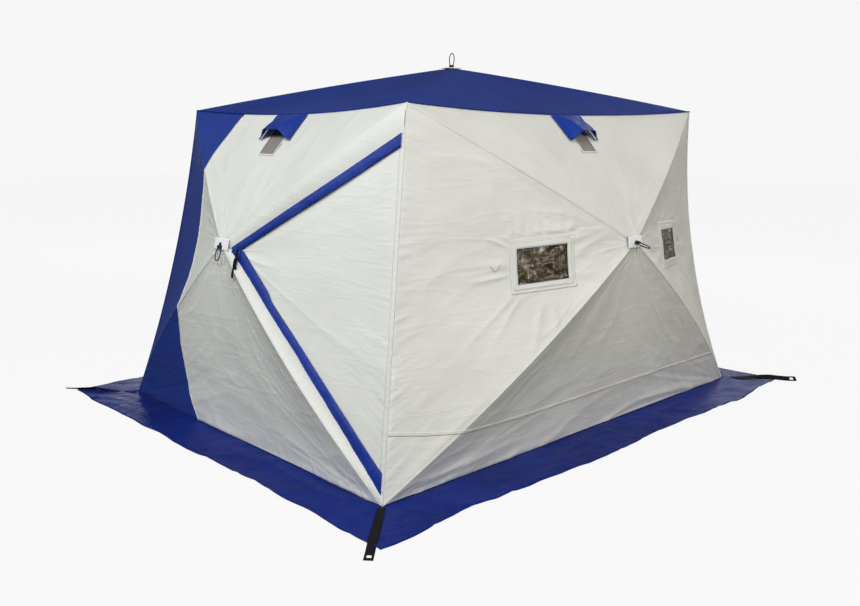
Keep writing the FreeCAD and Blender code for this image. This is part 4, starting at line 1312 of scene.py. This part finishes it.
CAD_LOOKS = (("hub_hardware", "paint"), ("_hub", "moulded"), ("rod", "glassfibre"),
             ("slider", "paint"), ("tapes", "tape_cloth"), ("pocket", "webbing_cad"))


def dress_cad():
    for name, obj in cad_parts.items():
        if not obj.hide_render:
            look = next((look for key, look in CAD_LOOKS if key in name), "moulded")
            obj.data.materials.clear()
            obj.data.materials.append(MAT[look])


# ---- camera, light, floor

CAMERA_AT, CAMERA_PITCH, CAMERA_TURN = (-3.9949, -3.5264, 1.5945), 74.722, -39.521
LENS, SHIFT = 34.86, (0.1381, 0.0694)
FLOOR_HALF, FLOOR_CELLS, FLOOR_DROP = 30, 25, 0.0004


def make_camera():
    data = bpy.data.cameras.new("camera")
    data.sensor_fit, data.sensor_width, data.lens = "HORIZONTAL", 36.0, LENS
    data.shift_x, data.shift_y = SHIFT
    camera = bpy.data.objects.new("camera", data)
    bpy.context.scene.collection.objects.link(camera)
    camera.location = CAMERA_AT
    camera.rotation_euler = (math.radians(CAMERA_PITCH), 0, math.radians(CAMERA_TURN))
    bpy.context.scene.camera = camera


# Place, size, power and colour of each lamp; all of them look at the middle of the shelter.
LAMPS = {"key": ((-6.5, -3.5, 6.0), 1.3, 300, (1.0, 1.0, 0.99)),
         "left": ((-7.0, 1.5, 5.2), 1.6, 155, (0.92, 0.97, 1.0)),
         "front": ((-4.5, -6.5, 4.6), 1.6, 122, (0.96, 0.985, 1.0)),
         "fill": ((2.2, -8.0, 3.6), 1.8, 205, (1.0, 0.955, 0.88)),
         "back": ((3.0, 8.0, 2.4), 3.0, 130, (1, 1, 1)),
         "end": ((8.0, 1.0, 3.4), 3.0, 130, (1, 1, 1))}
MIDDLE = Vector((0, 0, 0.9))


def make_lamps():
    for name, (location, width, power, colour) in LAMPS.items():
        data = bpy.data.lights.new(name, "AREA")
        data.shape = "SQUARE"
        data.size, data.energy, data.color = width, power, colour
        obj = bpy.data.objects.new(name, data)
        bpy.context.scene.collection.objects.link(obj)
        obj.location = location
        obj.rotation_euler = (MIDDLE - Vector(location)).to_track_quat("-Z", "Y").to_euler()


def make_studio():
    """Soft world light, and a brighter plain backdrop that only the camera sees."""
    scene = bpy.context.scene
    scene.view_settings.view_transform = "Standard"
    world = bpy.data.worlds.new("studio")
    world.use_nodes = True
    scene.world = world
    tree = world.node_tree
    mix = tree.nodes.new("ShaderNodeMixShader")
    path = tree.nodes.new("ShaderNodeLightPath")
    tree.links.new(path.outputs["Is Camera Ray"], mix.inputs[0])
    for socket, node, colour, strength in (
            (1, tree.nodes["Background"], (0.95, 0.98, 1.0, 1.0), 0.12),
            (2, tree.nodes.new("ShaderNodeBackground"), (0.93, 0.93, 0.93, 1.0), 1.0)):
        node.inputs[0].default_value, node.inputs[1].default_value = colour, strength
        tree.links.new(node.outputs[0], mix.inputs[socket])
    tree.links.new(mix.outputs[0], tree.nodes["World Output"].inputs[0])
    line = np.linspace(-FLOOR_HALF, FLOOR_HALF, FLOOR_CELLS)
    x, y = np.meshgrid(line, line)
    verts = np.stack([x, y, 0 * x - FLOOR_DROP], -1)
    cloth_piece("studio_floor", verts, MAT["floor"], (x, y))


make_camera()
make_loops()
make_walls()
make_seams()
make_cross_seams()
make_block_piping()
make_windows()
make_vents()
make_hoods()
make_door()
make_skirt()
make_straps()
make_hub_patches()
dress_cad()
make_lamps()
make_studio()
